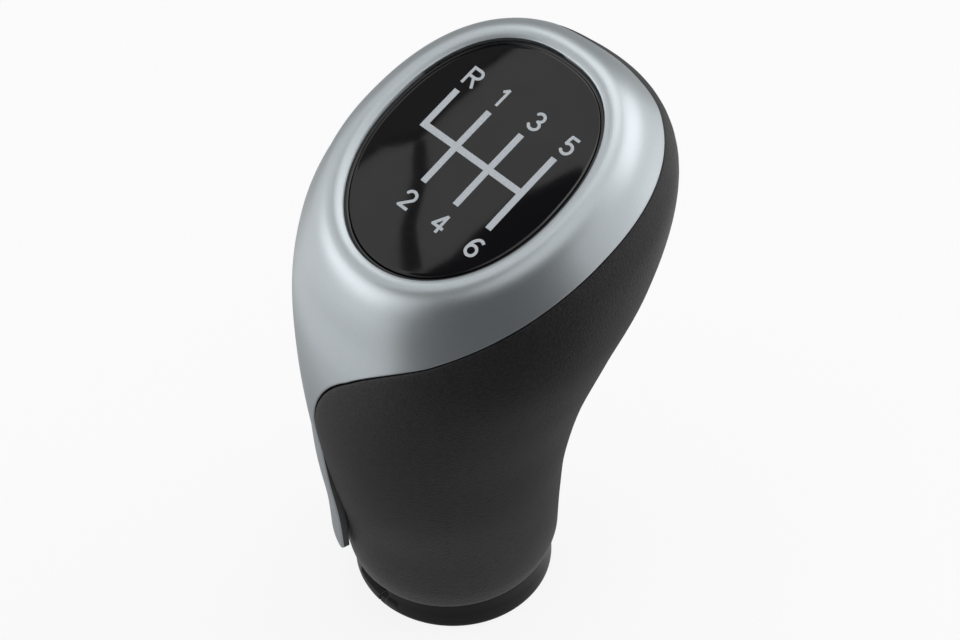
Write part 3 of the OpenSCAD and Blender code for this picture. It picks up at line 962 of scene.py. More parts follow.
@dataclass
class LeatherGrip:
    """The sewn leather sleeve: rolled hem, pillowed upper edge and a stitched seam on the front."""

    skin: GripSkin
    edge: TrimEdge
    wall: float = 1.4
    turns_in_h: float = 9.2
    hem_h: float = 6.69
    hem_slope: float = 0.077
    hem_radius: float = 15.8
    tuck_radius: float = 15.55
    tuck_top: float = 8.5
    hem_rows: int = 12
    hem_even: float = 0.45
    pillow_width: float = 1.0
    pillow_depth: float = 0.2
    seam_at: float = 112.0
    seam_width: float = 0.38
    seam_depth: float = 0.5
    swell: tuple[float, float, float] = (0.14, 1.0, 0.55)
    dent: tuple[float, float] = (0.12, 0.3)
    seam_fades: tuple[float, float] = (0.2, 2.0)
    seam_columns: tuple[float, float] = (7.0, 0.35)
    stitch_offset: float = 1.75
    stitch_length: float = 2.3
    stitch_pitch: float = 3.1
    stitch_ends: tuple[float, float] = (1.2, 4.0)
    thread: float = 0.24
    thread_thins: float = 0.35
    pieces: list[bpy.types.Object] = field(default_factory=list)

    def seam_relief(self, k: Array, azimuth: Array) -> Array:
        """Depth of the seam's groove, less the swell on its two sides, with the stitches' dent.

        Args:
            k: Section numbers.
            azimuth: Angles in degrees.

        Returns:
            One depth for each pair.
        """
        radius = self.skin.section_at(k)[..., 2]
        across = (((azimuth - self.seam_at) + 180) % 360 - 180) * np.pi / 180 * radius
        groove = self.seam_depth * np.exp(-((across / self.seam_width) ** 2))
        high, place, width = self.swell
        swell = high * np.exp(-(((np.abs(across) - place) / width) ** 2))
        dent = self.dent[0] * np.exp(-(((np.abs(across) - self.stitch_offset) / self.dent[1]) ** 2))
        return groove - swell + dent

    def build(self) -> None:
        """Builds the leather from the tucked hem to its cut edge, with its back."""
        foot = float(self.skin.k_at(self.turns_in_h))
        seam = (self.seam_at - self.edge.tail_at) % 360
        dense = ((seam, *self.seam_columns),)
        shell = CutShell(self.edge, -1, self.edge.root, self.edge.leather_h, foot, dense=dense)
        surface = self.skin.point(shell.k, shell.a)
        away = distance_to(shell.cut_line(False), surface)
        depth = rounding(away, self.pillow_width, self.pillow_depth)
        depth = depth + self.seam_relief(shell.k, shell.a) * smooth(*self.seam_fades, away)
        outer = surface - depth[..., None] * self.skin.outward(shell.k, shell.a)
        inner = self.skin.at_depth(shell.k, shell.a, np.full(shell.k.shape, self.wall))
        count, rows = shell.k.shape
        azimuth = np.radians(shell.a[:, -1])
        direction = np.stack([np.cos(azimuth), np.sin(azimuth), 0 * azimuth], axis=-1)
        rings = [outer[:, -1]]
        lip = self.hem_radius * direction
        lip[:, 2] = self.hem_h + self.hem_slope * lip[:, 1]
        for t in np.linspace(0, 1, self.hem_rows)[1:]:
            inward = self.hem_even * t + (1 - self.hem_even) * (1 - math.sqrt(1 - t**6))
            shares = np.array([inward, inward, t])
            rings.append(outer[:, -1] * (1 - shares) + lip * shares)
        tuck = self.tuck_radius * direction
        rings += [tuck + lip * [0, 0, 1] + [0, 0, 0.2], tuck + [0, 0, self.tuck_top], inner[:, -1]]
        points = np.vstack([outer.reshape(-1, 3), inner.reshape(-1, 3), *rings])
        faces = shell.faces(0, count * rows) + MeshMaker.band_faces(2 * count * rows, len(rings), count)
        made = MeshMaker.piece("leather", points, faces, crease=60)
        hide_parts("leather_cover")
        self.pieces.append(made)

    def stitch(self) -> None:
        """Sews the two rows of stitches beside the seam."""
        column = np.array([(self.seam_at - self.edge.tail_at) % 360])
        low = self.turns_in_h + self.stitch_ends[0]
        high = float(self.edge.skirt_height(column)[0]) - self.stitch_ends[1]
        parts = []
        for side in (-1, 1):
            for start in np.arange(low, high - self.stitch_length, self.stitch_pitch):
                t = np.linspace(0, 1, 9)
                height = start + self.stitch_length * t
                k = self.skin.k_at(height)
                radius = self.skin.section_at(k)[..., 2]
                azimuth = self.seam_at + side * np.degrees(self.stitch_offset / radius)
                sink = 0.05 - 0.2 * np.sin(np.pi * t) ** 0.5 + 0.28 * (np.abs(2 * t - 1) ** 6)
                path = self.skin.at_depth(k, azimuth, sink)
                radius = self.thread * (1 - self.thread_thins * np.abs(2 * t - 1) ** 6)
                parts.append(MeshMaker.tube(path, radius))
        points, faces = MeshMaker.join(parts)
        self.pieces.append(MeshMaker.piece("seam_stitches", points, faces, crease=50))

    def dress(self) -> None:
        """Gives the leather and its thread their finishes."""
        GrainLeather().onto(*self.pieces)


@dataclass
class TrimShell:
    """The satin shell: crest, mouth, skirt and the tail that stands off the leather."""

    skin: GripSkin
    edge: TrimEdge
    edge_round: float = 0.25
    lip_rows: int = 20
    inner_top: float = 7.45
    shelf_width: float = 2.4
    shelf_top: float = -3.2
    shelf_under: float = -5.0
    back_rise: float = -1.0
    piece: Union[bpy.types.Object, None] = None

    def build(self) -> None:
        """Builds the shell from its cut edge over the crest into the mouth, with its inside."""
        head, edge = self.skin.head, self.edge
        crest = float(self.skin.crest_k)
        shell = CutShell(edge, 1, edge.root - edge.seam_turn, edge.tip_h, crest, edge.seam_turn)
        lift = edge.lift_at(shell.k, shell.c)
        surface = self.skin.at_depth(shell.k, shell.a, -lift)
        away = distance_to(shell.cut_line(True), surface)
        depth = rounding(away, self.edge_round, self.edge_round) - lift
        outer = self.skin.at_depth(shell.k, shell.a, depth)
        back_k = np.minimum(shell.k, self.inner_top)
        depth = edge.wall_at(back_k, shell.c) - edge.lift_at(back_k, shell.c)
        inner = self.skin.at_depth(back_k, shell.a, depth)
        count, rows = shell.k.shape
        azimuth = shell.a[:, -1]
        rings = [outer[:, -1]]
        lips = np.linspace(crest, self.skin.mouth_k, self.lip_rows)[1:]
        rings += [self.skin.point(np.full(count, k), azimuth) for k in lips]
        for grow, rise in (
            (self.skin.lip_grow, self.shelf_top),
            (-self.shelf_width, self.shelf_top),
            (-self.shelf_width, self.shelf_under),
            (edge.wall, self.shelf_under),
            (edge.wall, self.back_rise),
        ):
            x, y = head.oval((head.mouth_half[0] + grow, head.mouth_half[1] + grow), azimuth)
            rings.append(head.place(np.stack([x, y, np.full(count, rise)], axis=-1)))
        rings.append(inner[:, -1])
        points = np.vstack([outer.reshape(-1, 3), inner.reshape(-1, 3), *rings])
        faces = shell.faces(0, count * rows) + MeshMaker.band_faces(2 * count * rows, len(rings), count)
        size = count * rows
        painted = 2 * size + (self.lip_rows + 1) * count
        bare = [not (max(f) < size or 2 * size <= min(f) and max(f) < painted) for f in faces]
        self.piece = MeshMaker.piece("trim_shell", points, faces, crease=64, bare=bare)
        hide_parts("trim_cover")

    def dress(self) -> None:
        """Gives the shell its paint."""
        SatinSilver().onto(self.piece)


@dataclass
class Collar:
    """The collar: a tube with two windows for the boot's hooks, a curved slit and a tab beside it."""

    outline: tuple[tuple[float, float], ...] = (
        (15.3, 0.0), (15.55, 0.1), (15.7, 0.4), (15.68, 1.0), (15.6, 2.2), (15.5, 3.4),
    )
    top_radius: float = 15.48
    inner_radius: float = 13.8
    shoulder_h: float = 8.4
    window_from: float = -113.0
    window_to: float = -86.0
    sills: tuple[float, float] = (2.4, 3.1)
    sill_h: float = 3.4
    chamfer: float = 0.5
    thin: float = 0.75
    chamfer_h: float = 1.1
    slit_at: float = -92.4
    slit_half: float = 0.75
    slit_lean: float = 5.2
    slit_reach: float = 6.2
    slit_power: float = 0.6
    slit_bends: tuple[float, float] = (1.2, 3.8)
    tab_at: float = -83.5
    tab_h: float = 1.8
    tab_out: float = 0.16
    tab_sides: tuple[float, float] = (4.6, 3.6)
    tab_ends: tuple[float, float] = (0.8, 0.6)
    below: tuple[float, ...] = (0.0, 0.03, 0.1, 0.18, 0.28, 0.38, 0.48, 0.58, 0.68, 0.78, 0.88, 1.0)
    above: tuple[float, ...] = (0.25, 0.6, 1.0)
    fine: tuple[float, float, float] = (4.0, 12.0, 0.75)
    even: float = 2.0
    clear: float = 0.3
    inner_top: float = 6.6
    spigot: tuple[tuple[float, float], ...] = (
        (15.2, 8.4), (15.2, 7.05), (13.9, 7.05), (13.9, 10.05), (14.25, 10.4),
        (13.9, 10.75), (13.9, 15.0), (12.4, 15.0), (12.4, 7.4),
    )
    piece: Union[bpy.types.Object, None] = None

    def columns(self) -> Array:
        """Works out where the columns stand, with the edges of windows and slit among them.

        Returns:
            Azimuths in degrees, closer together round the first window and the slit.
        """
        ends = [self.window_from, self.window_to, self.window_from + 180, self.window_to + 180]
        slit = [self.slit_at + side * self.slit_half for side in (-1, 1)]
        fine = np.arange(self.window_from - self.fine[0], self.window_to + self.fine[1], self.fine[2])
        even = np.arange(-180, 180, self.even)
        loose = [a for a in (*fine, *even) if min(abs(a - e) for e in (*ends, *slit)) > self.clear]
        return np.unique(np.round([a for a in (*loose, *ends, *slit) if not slit[0] < a < slit[1]], 3))

    def in_window(self, azimuth: Array) -> Array:
        """Whether an azimuth lies in one of the windows."""
        turned = (azimuth - self.window_from) % 180
        return turned < self.window_to - self.window_from - TINY

    @staticmethod
    def grid_faces(gone: Array) -> Faces:
        """Faces of both walls of the tube, and of the edges of the cells that are gone.

        Args:
            gone: Whether each cell is left out, by row and column.

        Returns:
            The faces, for the outer points first and the inner points after them.
        """
        rows, count = gone.shape[0] + 1, gone.shape[1]
        faces: Faces = []

        def at(r: int, c: int, side: int) -> int:
            """Index of a point of the outer wall, 0, or of the inner wall, 1."""
            return side * rows * count + r * count + c % count

        def rim(first: tuple[int, int], last: tuple[int, int]) -> None:
            """Adds the face between the two walls along an edge."""
            faces.append([at(*first, 0), at(*last, 0), at(*last, 1), at(*first, 1)])

        for r in range(rows - 1):
            for c in range(count):
                if gone[r, c]:
                    continue
                corners = ((r, c), (r, c + 1), (r + 1, c + 1), (r + 1, c))
                for side in (0, 1):
                    faces.append([at(*corner, side) for corner in corners])
                if gone[r, (c + 1) % count]:
                    rim((r, c + 1), (r + 1, c + 1))
                if gone[r, c - 1]:
                    rim((r, c), (r + 1, c))
                if r == 0 or gone[r - 1, c]:
                    rim((r, c), (r, c + 1))
                if r < rows - 2 and gone[r + 1, c]:
                    rim((r + 1, c), (r + 1, c + 1))
        return faces

    def build(self) -> None:
        """Builds the collar from a grid of columns and rows, without the cells of windows and slit."""
        azimuth = self.columns()
        count = len(azimuth)
        turned = (azimuth - self.window_from) % 180
        span = self.window_to - self.window_from
        under = turned <= span + TINY
        slope = self.sills[0] + (self.sills[1] - self.sills[0]) * turned / span
        sill = np.where(under, slope, self.sill_h)
        below, above = np.array(self.below), np.array(self.above)
        height = np.vstack([below[:, None] * sill, sill + above[:, None] * (self.shoulder_h - sill)])
        rows, sill_row = len(height), len(below) - 1
        heights = [h for _, h in self.outline] + [self.shoulder_h]
        radii = [r for r, _ in self.outline] + [self.top_radius]
        radius = np.interp(height, heights, radii)
        cut = smooth(0, 1, (height - sill + self.chamfer_h) / self.chamfer_h)
        cut = cut * under * (height <= sill + TINY)
        radius = radius - self.chamfer * cut
        within = self.inner_radius + self.thin * cut
        beside = np.abs(azimuth - self.tab_at)
        tab = smooth(*self.tab_sides, beside) * smooth(*self.tab_ends, np.abs(height - self.tab_h))
        radius = radius + self.tab_out * tab
        near = np.clip(1 - np.abs(azimuth - self.slit_at) / self.slit_reach, 0, 1)
        lean = self.slit_lean * near**self.slit_power * smooth(*self.slit_bends, height)
        angle = np.radians(azimuth + lean)
        across = np.stack([np.cos(angle), np.sin(angle)], axis=-1)
        outer = np.concatenate([radius[..., None] * across, height[..., None]], axis=-1)
        lower = np.minimum(height, self.inner_top)
        inner = np.concatenate([within[..., None] * across, lower[..., None]], axis=-1)
        gone = np.zeros((rows - 1, count), bool)
        gone[sill_row : rows - 1] = self.in_window(azimuth)
        gone[rows - 2] = False
        slit = int(np.argmin(np.abs(azimuth - self.slit_at + self.slit_half)))
        gone[:sill_row, slit] = True
        around = np.radians(azimuth)
        rings = [outer[-1]]
        for r, h in self.spigot:
            rings.append(np.column_stack([r * np.cos(around), r * np.sin(around), np.full(count, h)]))
        rings.append(inner[-1])
        points = np.vstack([outer.reshape(-1, 3), inner.reshape(-1, 3), *rings])
        faces = self.grid_faces(gone) + MeshMaker.band_faces(2 * rows * count, len(rings), count)
        self.piece = MeshMaker.piece("collar", points, faces, crease=35)
        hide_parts("collar_ring")

    def dress(self) -> None:
        """Gives the collar its plastic."""
        PlasticKind.BLACK.value.onto(self.piece)


# Badge


class Figure(Enum):
    """The figures of the gate pattern, as strokes on a cell one unit high.

    Each is its strokes and the cell's width. A stroke is a list of points. An item of five numbers
    is an arc, as centre, radius across, and first and last angle, and a sixth number is its radius
    up where that differs.
    """

    R = (
        [
            [(0.06, 0.0), (0.06, 1.0)],
            [(0.06, 0.93), (0.44, 0.93), (0.44, 0.715, 0.24, 90, -90, 0.215), (0.06, 0.5)],
            [(0.36, 0.5), (0.66, 0.0)],
        ],
        0.72,
    )
    ONE = ([[(0.34, 0.0), (0.34, 0.97)], [(0.355, 0.95), (0.12, 0.735)]], 0.5)
    TWO = ([[(0.32, 0.68, 0.26, 172, -28, 0.25), (0.07, 0.07), (0.62, 0.07)]], 0.64)
    THREE = ([[(0.31, 0.72, 0.225, 160, -90, 0.21)], [(0.31, 0.285, 0.265, 90, -165, 0.225)]], 0.62)
    FOUR = ([[(0.47, 0.0), (0.47, 0.96)], [(0.47, 0.93), (0.07, 0.3), (0.68, 0.3)]], 0.7)
    FIVE = ([[(0.57, 0.93), (0.16, 0.93), (0.11, 0.50)], [(0.32, 0.33, 0.265, 140, -150, 0.265)]], 0.64)
    SIX = ([[(0.34, 0.32, 0.26, 0, 360, 0.255)], [(0.44, 0.36, 0.36, 60, 180, 0.575)]], 0.66)


@dataclass
class GatePattern:
    """The print: four gates on a cross bar, and the figures at their ends."""

    head: Head
    pitch: float = 6.55
    half: float = 7.05
    line: float = 1.05
    forward: float = 0.3
    thickness: float = 0.06
    dome: float = 420.0
    top: float = 0.3
    cap_height: float = 3.25
    stroke: float = 0.47
    arc_step: float = 9.0
    joint_step: int = 30
    sink: float = 0.01
    figures: tuple[tuple[Figure, tuple[float, float]], ...] = (
        (Figure.R, (-9.3, 10.3)),
        (Figure.ONE, (-3.5, 10.3)),
        (Figure.THREE, (3.6, 10.3)),
        (Figure.FIVE, (10.15, 10.1)),
        (Figure.TWO, (-3.04, -10.1)),
        (Figure.FOUR, (3.46, -10.1)),
        (Figure.SIX, (10.1, -10.1)),
    )
    pieces: list[bpy.types.Object] = field(default_factory=list)

    @staticmethod
    def box(x0: float, y0: float, x1: float, y1: float) -> list[tuple[float, float]]:
        """Corners of an upright rectangle."""
        return [(x0, y0), (x1, y0), (x1, y1), (x0, y1)]

    def bars(self) -> list[list[tuple[float, float]]]:
        """Works out the cross bar and the gates, of which the first has only its front arm.

        Returns:
            The corners of each rectangle.
        """
        w, span = self.line / 2, 1.5 * self.pitch
        shapes = [self.box(-span - w, self.forward - w, span + w, self.forward + w)]
        for gate in range(4):
            x = (gate - 1.5) * self.pitch
            rear = self.forward if gate == 0 else self.forward - self.half
            shapes.append(self.box(x - w, rear, x + w, self.forward + self.half))
        return shapes

    def path(self, items: Sequence[tuple[float, ...]]) -> list[Vector]:
        """A stroke's points, with its arcs drawn out.

        Args:
            items: Points and arcs of the stroke.

        Returns:
            The points in order.
        """
        points: list[Vector] = []
        for item in items:
            if len(item) == 2:
                points.append(Vector(item))
                continue
            x, y, across, first, last = item[:5]
            up = item[5] if len(item) > 5 else across
            steps = max(6, int(abs(last - first) / self.arc_step))
            for i in range(steps + 1):
                a = math.radians(first + (last - first) * i / steps)
                points.append(Vector((x + across * math.cos(a), y + up * math.sin(a))))
        return points

    def strokes(self, figure: Figure, centre: tuple[float, float]) -> list[list[tuple[float, float]]]:
        """Polygons of one figure: a quad for each step of a stroke, and a round at each joint.

        Args:
            figure: The figure.
            centre: Its middle in the pattern's plane.

        Returns:
            The corners of each polygon.
        """
        lines, width = figure.value
        size, w = self.cap_height, self.stroke / 2
        shift = Vector((centre[0] - size * width / 2, centre[1] - size / 2))
        shapes: list[list[tuple[float, float]]] = []
        turns = [math.radians(a) for a in range(0, 360, self.joint_step)]
        for line in lines:
            points = [p * size + shift for p in self.path(line)]
            for p, q in zip(points, points[1:]):
                if (q - p).length < WELD:
                    continue
                side = (q - p).orthogonal().normalized() * w
                shapes.append([tuple(v) for v in (p + side, p - side, q - side, q + side)])
            for p in points[1:-1]:
                shapes.append([(p.x + w * math.cos(a), p.y + w * math.sin(a)) for a in turns])
        return shapes

    @staticmethod
    def covered(points: Array, rings: Sequence[Array]) -> Array:
        """Whether each point lies in one of several convex polygons.

        Args:
            points: Points in the pattern's plane.
            rings: Corners of each polygon, anticlockwise.

        Returns:
            One answer for each point.
        """
        found = np.zeros(len(points), bool)
        for ring in rings:
            side, there = np.roll(ring, -1, axis=0) - ring, points[:, None] - ring
            found |= (side[:, 0] * there[..., 1] - side[:, 1] * there[..., 0] > -1e-9).all(axis=1)
        return found

    def slab(self, shapes: Sequence[Sequence[tuple[float, float]]], name: str) -> bpy.types.Object:
        """Merges flat shapes into one outline and raises it on the dome.

        Args:
            shapes: Polygons in the pattern's plane, which may overlap.
            name: Name of the piece.

        Returns:
            The printed piece.
        """
        corners: list[Vector] = []
        polygons: Faces = []
        for shape in shapes:
            points = [Vector(p) for p in shape]
            area = sum(a.x * b.y - b.x * a.y for a, b in zip(points, points[1:] + points[:1]))
            if area < 0:
                points.reverse()
            polygons.append(list(range(len(corners), len(corners) + len(points))))
            corners += points
        flat, _, triangles, _, _, _ = geometry.delaunay_2d_cdt(corners, [], polygons, 1, 1e-5)
        xy = np.array([tuple(p) for p in flat])
        rings = [np.array([tuple(corners[i]) for i in polygon]) for polygon in polygons]
        kept = self.covered(xy[np.array(triangles)].mean(axis=1), rings)
        triangles = [t for t, inside in zip(triangles, kept) if inside]
        low = self.top - self.dome + np.sqrt(self.dome**2 - (xy**2).sum(1))
        n = len(xy)
        under = np.column_stack([xy, low - self.sink])
        over = np.column_stack([xy, low + self.thickness])
        border: dict[tuple[int, int], int] = {}
        for t in triangles:
            for p, q in zip(t, list(t[1:]) + [t[0]]):
                border[(p, q)] = border.get((p, q), 0) + 1
        walls = [[p, q, q + n, p + n] for p, q in border if (q, p) not in border]
        faces = [list(t)[::-1] for t in triangles] + [[i + n for i in t] for t in triangles] + walls
        points = self.head.place(np.vstack([under, over]))
        return MeshMaker.piece(name, points, faces, crease=30)

    def build(self) -> None:
        """Prints the gates and the figures."""
        gates = self.slab(self.bars(), "print_gates")
        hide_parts("gate_print")
        shapes = [shape for figure, place in self.figures for shape in self.strokes(figure, place)]
        figures = self.slab(shapes, "print_figures")
        self.pieces += [gates, figures]

    def dress(self) -> None:
        """Gives the print its ink."""
        PalePrint().onto(*self.pieces)


@dataclass
class BadgePlate:
    """The domed gloss plate with its rounded edge, and the gloss bead of the carrier's rim."""

    head: Head
    inset: float = 0.12
    thickness: float = 2.2
    rim_under: float = 0.42
    top: float = 0.3
    dome: float = 420.0
    edge_round: float = 0.16
    around: int = 192
    under_insets: tuple[float, ...] = (14.0, 10.0, 5.0, 1.4)
    dome_insets: tuple[float, float] = (0.5, 0.6)
    dome_rings: int = 26
    round_rings: int = 9
    bead_half: float = 0.32
    bead_middle: float = 0.25
    bead_rise: float = 0.33
    bead_shift: tuple[float, float] = (0.12, -0.12)
    bead_sink: float = 0.12
    bead_foot: float = 1.4
    bead_points: int = 13
    pieces: list[bpy.types.Object] = field(default_factory=list)

    def height(self, xy: Array) -> Array:
        """Height of the dome over the pattern's plane."""
        return self.top - self.dome + np.sqrt(self.dome**2 - (xy**2).sum(-1))

    def build(self) -> None:
        """Builds the plate from rings: under, wall, rounded edge and dome."""
        half = np.array(self.head.mouth_half) - self.inset
        angle = np.arange(self.around) * 360 / self.around
        rings = []

        def ring(inset: float, drop: float, from_top: bool) -> None:
            """Adds a ring at an inset, at a drop from the dome or at a plain height."""
            x, y = self.head.oval(half - inset, angle)
            xy = np.stack([x, y], axis=-1)
            z = self.height(xy) - drop if from_top else np.full(len(x), drop)
            rings.append(np.column_stack([xy, z]))

        under = self.top - self.thickness
        for inset in self.under_insets:
            ring(inset, under, False)
        ring(self.under_insets[-1], self.rim_under, True)
        ring(0.0, self.rim_under, True)
        for turn in np.linspace(0, 90, self.round_rings):
            t = math.radians(turn)
            ring(self.edge_round * (1 - math.cos(t)), self.edge_round * (1 - math.sin(t)), True)
        first, last = self.edge_round + self.dome_insets[0], half[0] - self.dome_insets[1]
        for inset in np.linspace(first, last, self.dome_rings):
            ring(inset, 0.0, True)
        flat = np.vstack(rings)
        middle_low, middle_top = np.array([[0, 0, under]]), np.array([[0, 0, self.top]])
        points = np.vstack([flat, middle_top, middle_low])
        faces = MeshMaker.disc_faces(len(rings), self.around, len(flat))
        faces += [[c, (c + 1) % self.around, len(flat) + 1] for c in range(self.around)]
        plate = MeshMaker.piece("badge_face", self.head.place(points), faces, crease=50)
        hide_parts("badge_plate")
        self.pieces.append(plate)

    def rim(self) -> None:
        """Builds the bead of the carrier's rim, between the plate and the trim."""
        angle = np.arange(self.around) * 360 / self.around
        turns = np.radians(np.linspace(180, 0, self.bead_points))
        crown = zip(self.bead_half * np.cos(turns), self.bead_rise * np.sin(turns) - self.bead_sink)
        feet = [(side * self.bead_half, -self.bead_foot) for side in (-1, 1)]
        profile = [feet[0], *crown, feet[1]]
        rings = []
        for across, rise in (*profile, profile[0]):
            half = np.array(self.head.mouth_half) + self.bead_middle + across
            xy = np.stack(self.head.oval(half, angle), axis=-1) + self.bead_shift
            rings.append(np.column_stack([xy, self.height(xy) + rise]))
        points = self.head.place(np.vstack(rings))
        faces = MeshMaker.band_faces(0, len(rings), self.around)
        self.pieces.append(MeshMaker.piece("badge_rim", points, faces, crease=50))

    def dress(self) -> None:
        """Gives plate and rim their gloss."""
        GlossBlack().onto(*self.pieces)


# Plain parts


@dataclass
class PlainParts:
    """The CAD nodes that keep their own solids and only get a finish."""

    finishes: tuple[tuple[str, Finish], ...] = (
        ("badge_carrier", PlasticKind.BLACK.value),
        ("grip_core", PlasticKind.CORE.value),
        ("lever_sleeve", PlasticKind.NYLON.value),
        ("end_stop", PlasticKind.RUBBER.value),
        ("spring_clip", Steel()),
        ("carrier_screw_front", Steel()),
        ("carrier_screw_rear", Steel()),
        ("badge_tape", Foam()),
    )

    def dress(self) -> None:
        """Gives each node its finish."""
        for name, finish in self.finishes:
            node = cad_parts[name]
            for place in node.material_slots:
                place.material = finish.material()
            LOG.info("%s: %s", name, finish.name)


# Studio


def facing(aim: Sequence[float], place: Sequence[float]) -> Quaternion:
    """The turn that points an object's -Z from its place to an aim."""
    return (Vector(aim) - Vector(place)).to_track_quat("-Z", "Y")


def seen_from(azimuth: float, elevation: float, distance: float) -> Vector:
    """A place at a direction and distance from the middle of the knob, in metres."""
    a, e = math.radians(azimuth), math.radians(elevation)
    way = Vector((math.cos(a) * math.cos(e), math.sin(a) * math.cos(e), math.sin(e)))
    return way * distance + KNOB_MIDDLE


@dataclass(frozen=True)
class Softbox:
    """One rectangular lamp that faces the knob, by direction, size and brightness."""

    name: str
    azimuth: float
    elevation: float
    distance: float
    size: tuple[float, float]
    brightness: float

    def build(self) -> None:
        """Hangs the lamp."""
        light = bpy.data.lights.new(self.name, "AREA")
        light.shape = "RECTANGLE"
        light.size, light.size_y = self.size
        light.energy = self.brightness * math.pi * self.size[0] * self.size[1]
        lamp = bpy.data.objects.new(self.name, light)
        bpy.context.scene.collection.objects.link(lamp)
        lamp.location = seen_from(self.azimuth, self.elevation, self.distance)
        lamp.rotation_mode = "QUATERNION"
        lamp.rotation_quaternion = facing(KNOB_MIDDLE, lamp.location)


class Card:
    """A card that only gloss and metal show, as a photographer hangs them round a shiny object."""

    name: str
    level: float

    def sheet(self, points: Sequence[Vector], faces: Sequence[Sequence[int]]) -> None:
        """Hangs the card.

        Args:
            points: Its points in metres.
            faces: Corner indices of each face.
        """
        mesh = bpy.data.meshes.new(self.name)
        mesh.from_pydata([tuple(p) for p in points], [], [list(f) for f in faces])
        card = bpy.data.objects.new(self.name, mesh)
        bpy.context.scene.collection.objects.link(card)
        card.visible_camera = card.visible_diffuse = card.visible_shadow = False
        card.visible_transmission = card.visible_volume_scatter = False
        s = Shader("studio_" + self.name)
        cloth = s.mix(s.noise(40, 2), (self.level * 0.9,) * 3, (self.level * 1.1,) * 3)
        s.dress(Base_Color=(0, 0, 0), Roughness=1.0, Specular_IOR_Level=0.0)
        s.dress(Emission_Color=cloth, Emission_Strength=1.0)
        mesh.materials.append(s.material)


@dataclass(frozen=True)
class Flag(Card):
    """A card curved round the knob, given its ranges of azimuth and elevation."""

    name: str
    azimuth: tuple[float, float]
    elevation: tuple[float, float]
    level: float = 0.0
    distance: float = 1.4
    steps: int = 24

    def place(self, azimuth: float, elevation: float) -> Vector:
        """The card's point in a direction."""
        return seen_from(azimuth, elevation, self.distance)

    def build(self) -> None:
        """Hangs the card."""
        n = self.steps + 1
        ups, turns = np.linspace(*self.elevation, n), np.linspace(*self.azimuth, n)
        points = [self.place(azimuth, up) for up in ups for azimuth in turns]
        starts = [row * n + column for row in range(n - 1) for column in range(n - 1)]
        self.sheet(points, [[i, i + 1, i + 1 + n, i + n] for i in starts])


@dataclass(frozen=True)
class FloorCard(Flag):
    """A card lying over the floor at a height, given its ranges of azimuth and of distance in metres."""

    def place(self, azimuth: float, elevation: float) -> Vector:
        """The card's point at an azimuth and a distance."""
        a = math.radians(azimuth)
        return Vector((math.cos(a) * elevation, math.sin(a) * elevation, self.distance))


@dataclass(frozen=True)
class BadgeCard(Card):
    """A card cut so that the domed badge mirrors it in a given outline, in the pattern's plane."""

    name: str
    outline: tuple[tuple[float, float], ...]
    level: float
    distance: float = 0.7

    def build(self, eye: Vector, plate: BadgePlate) -> None:
        """Hangs the card where the badge mirrors it.

        Args:
            eye: The camera's place in metres.
            plate: The badge plate, for its dome and its frame.
        """
        points = []
        middle = Vector(plate.head.place(np.zeros(3)))
        for x, y in self.outline:
            spot = Vector(plate.head.place(np.array([x, y, plate.height(np.array([x, y]))])))
            out = (Vector(plate.head.place(np.array([x, y, plate.dome]))) - middle).normalized()
            ray = (spot * MM - eye).normalized()
            points.append(spot * MM + (ray - 2 * ray.dot(out) * out) * self.distance)
        self.sheet(points, [range(len(points))])


CORNER_LINE = (
    (-13.6, -11.5), (-12.2, -5.5), (-8.7, -1.9), (-8.6, -0.6), (-7.8, 9.6), (-9.3, 12.0), (-7.1, 19.5),
)


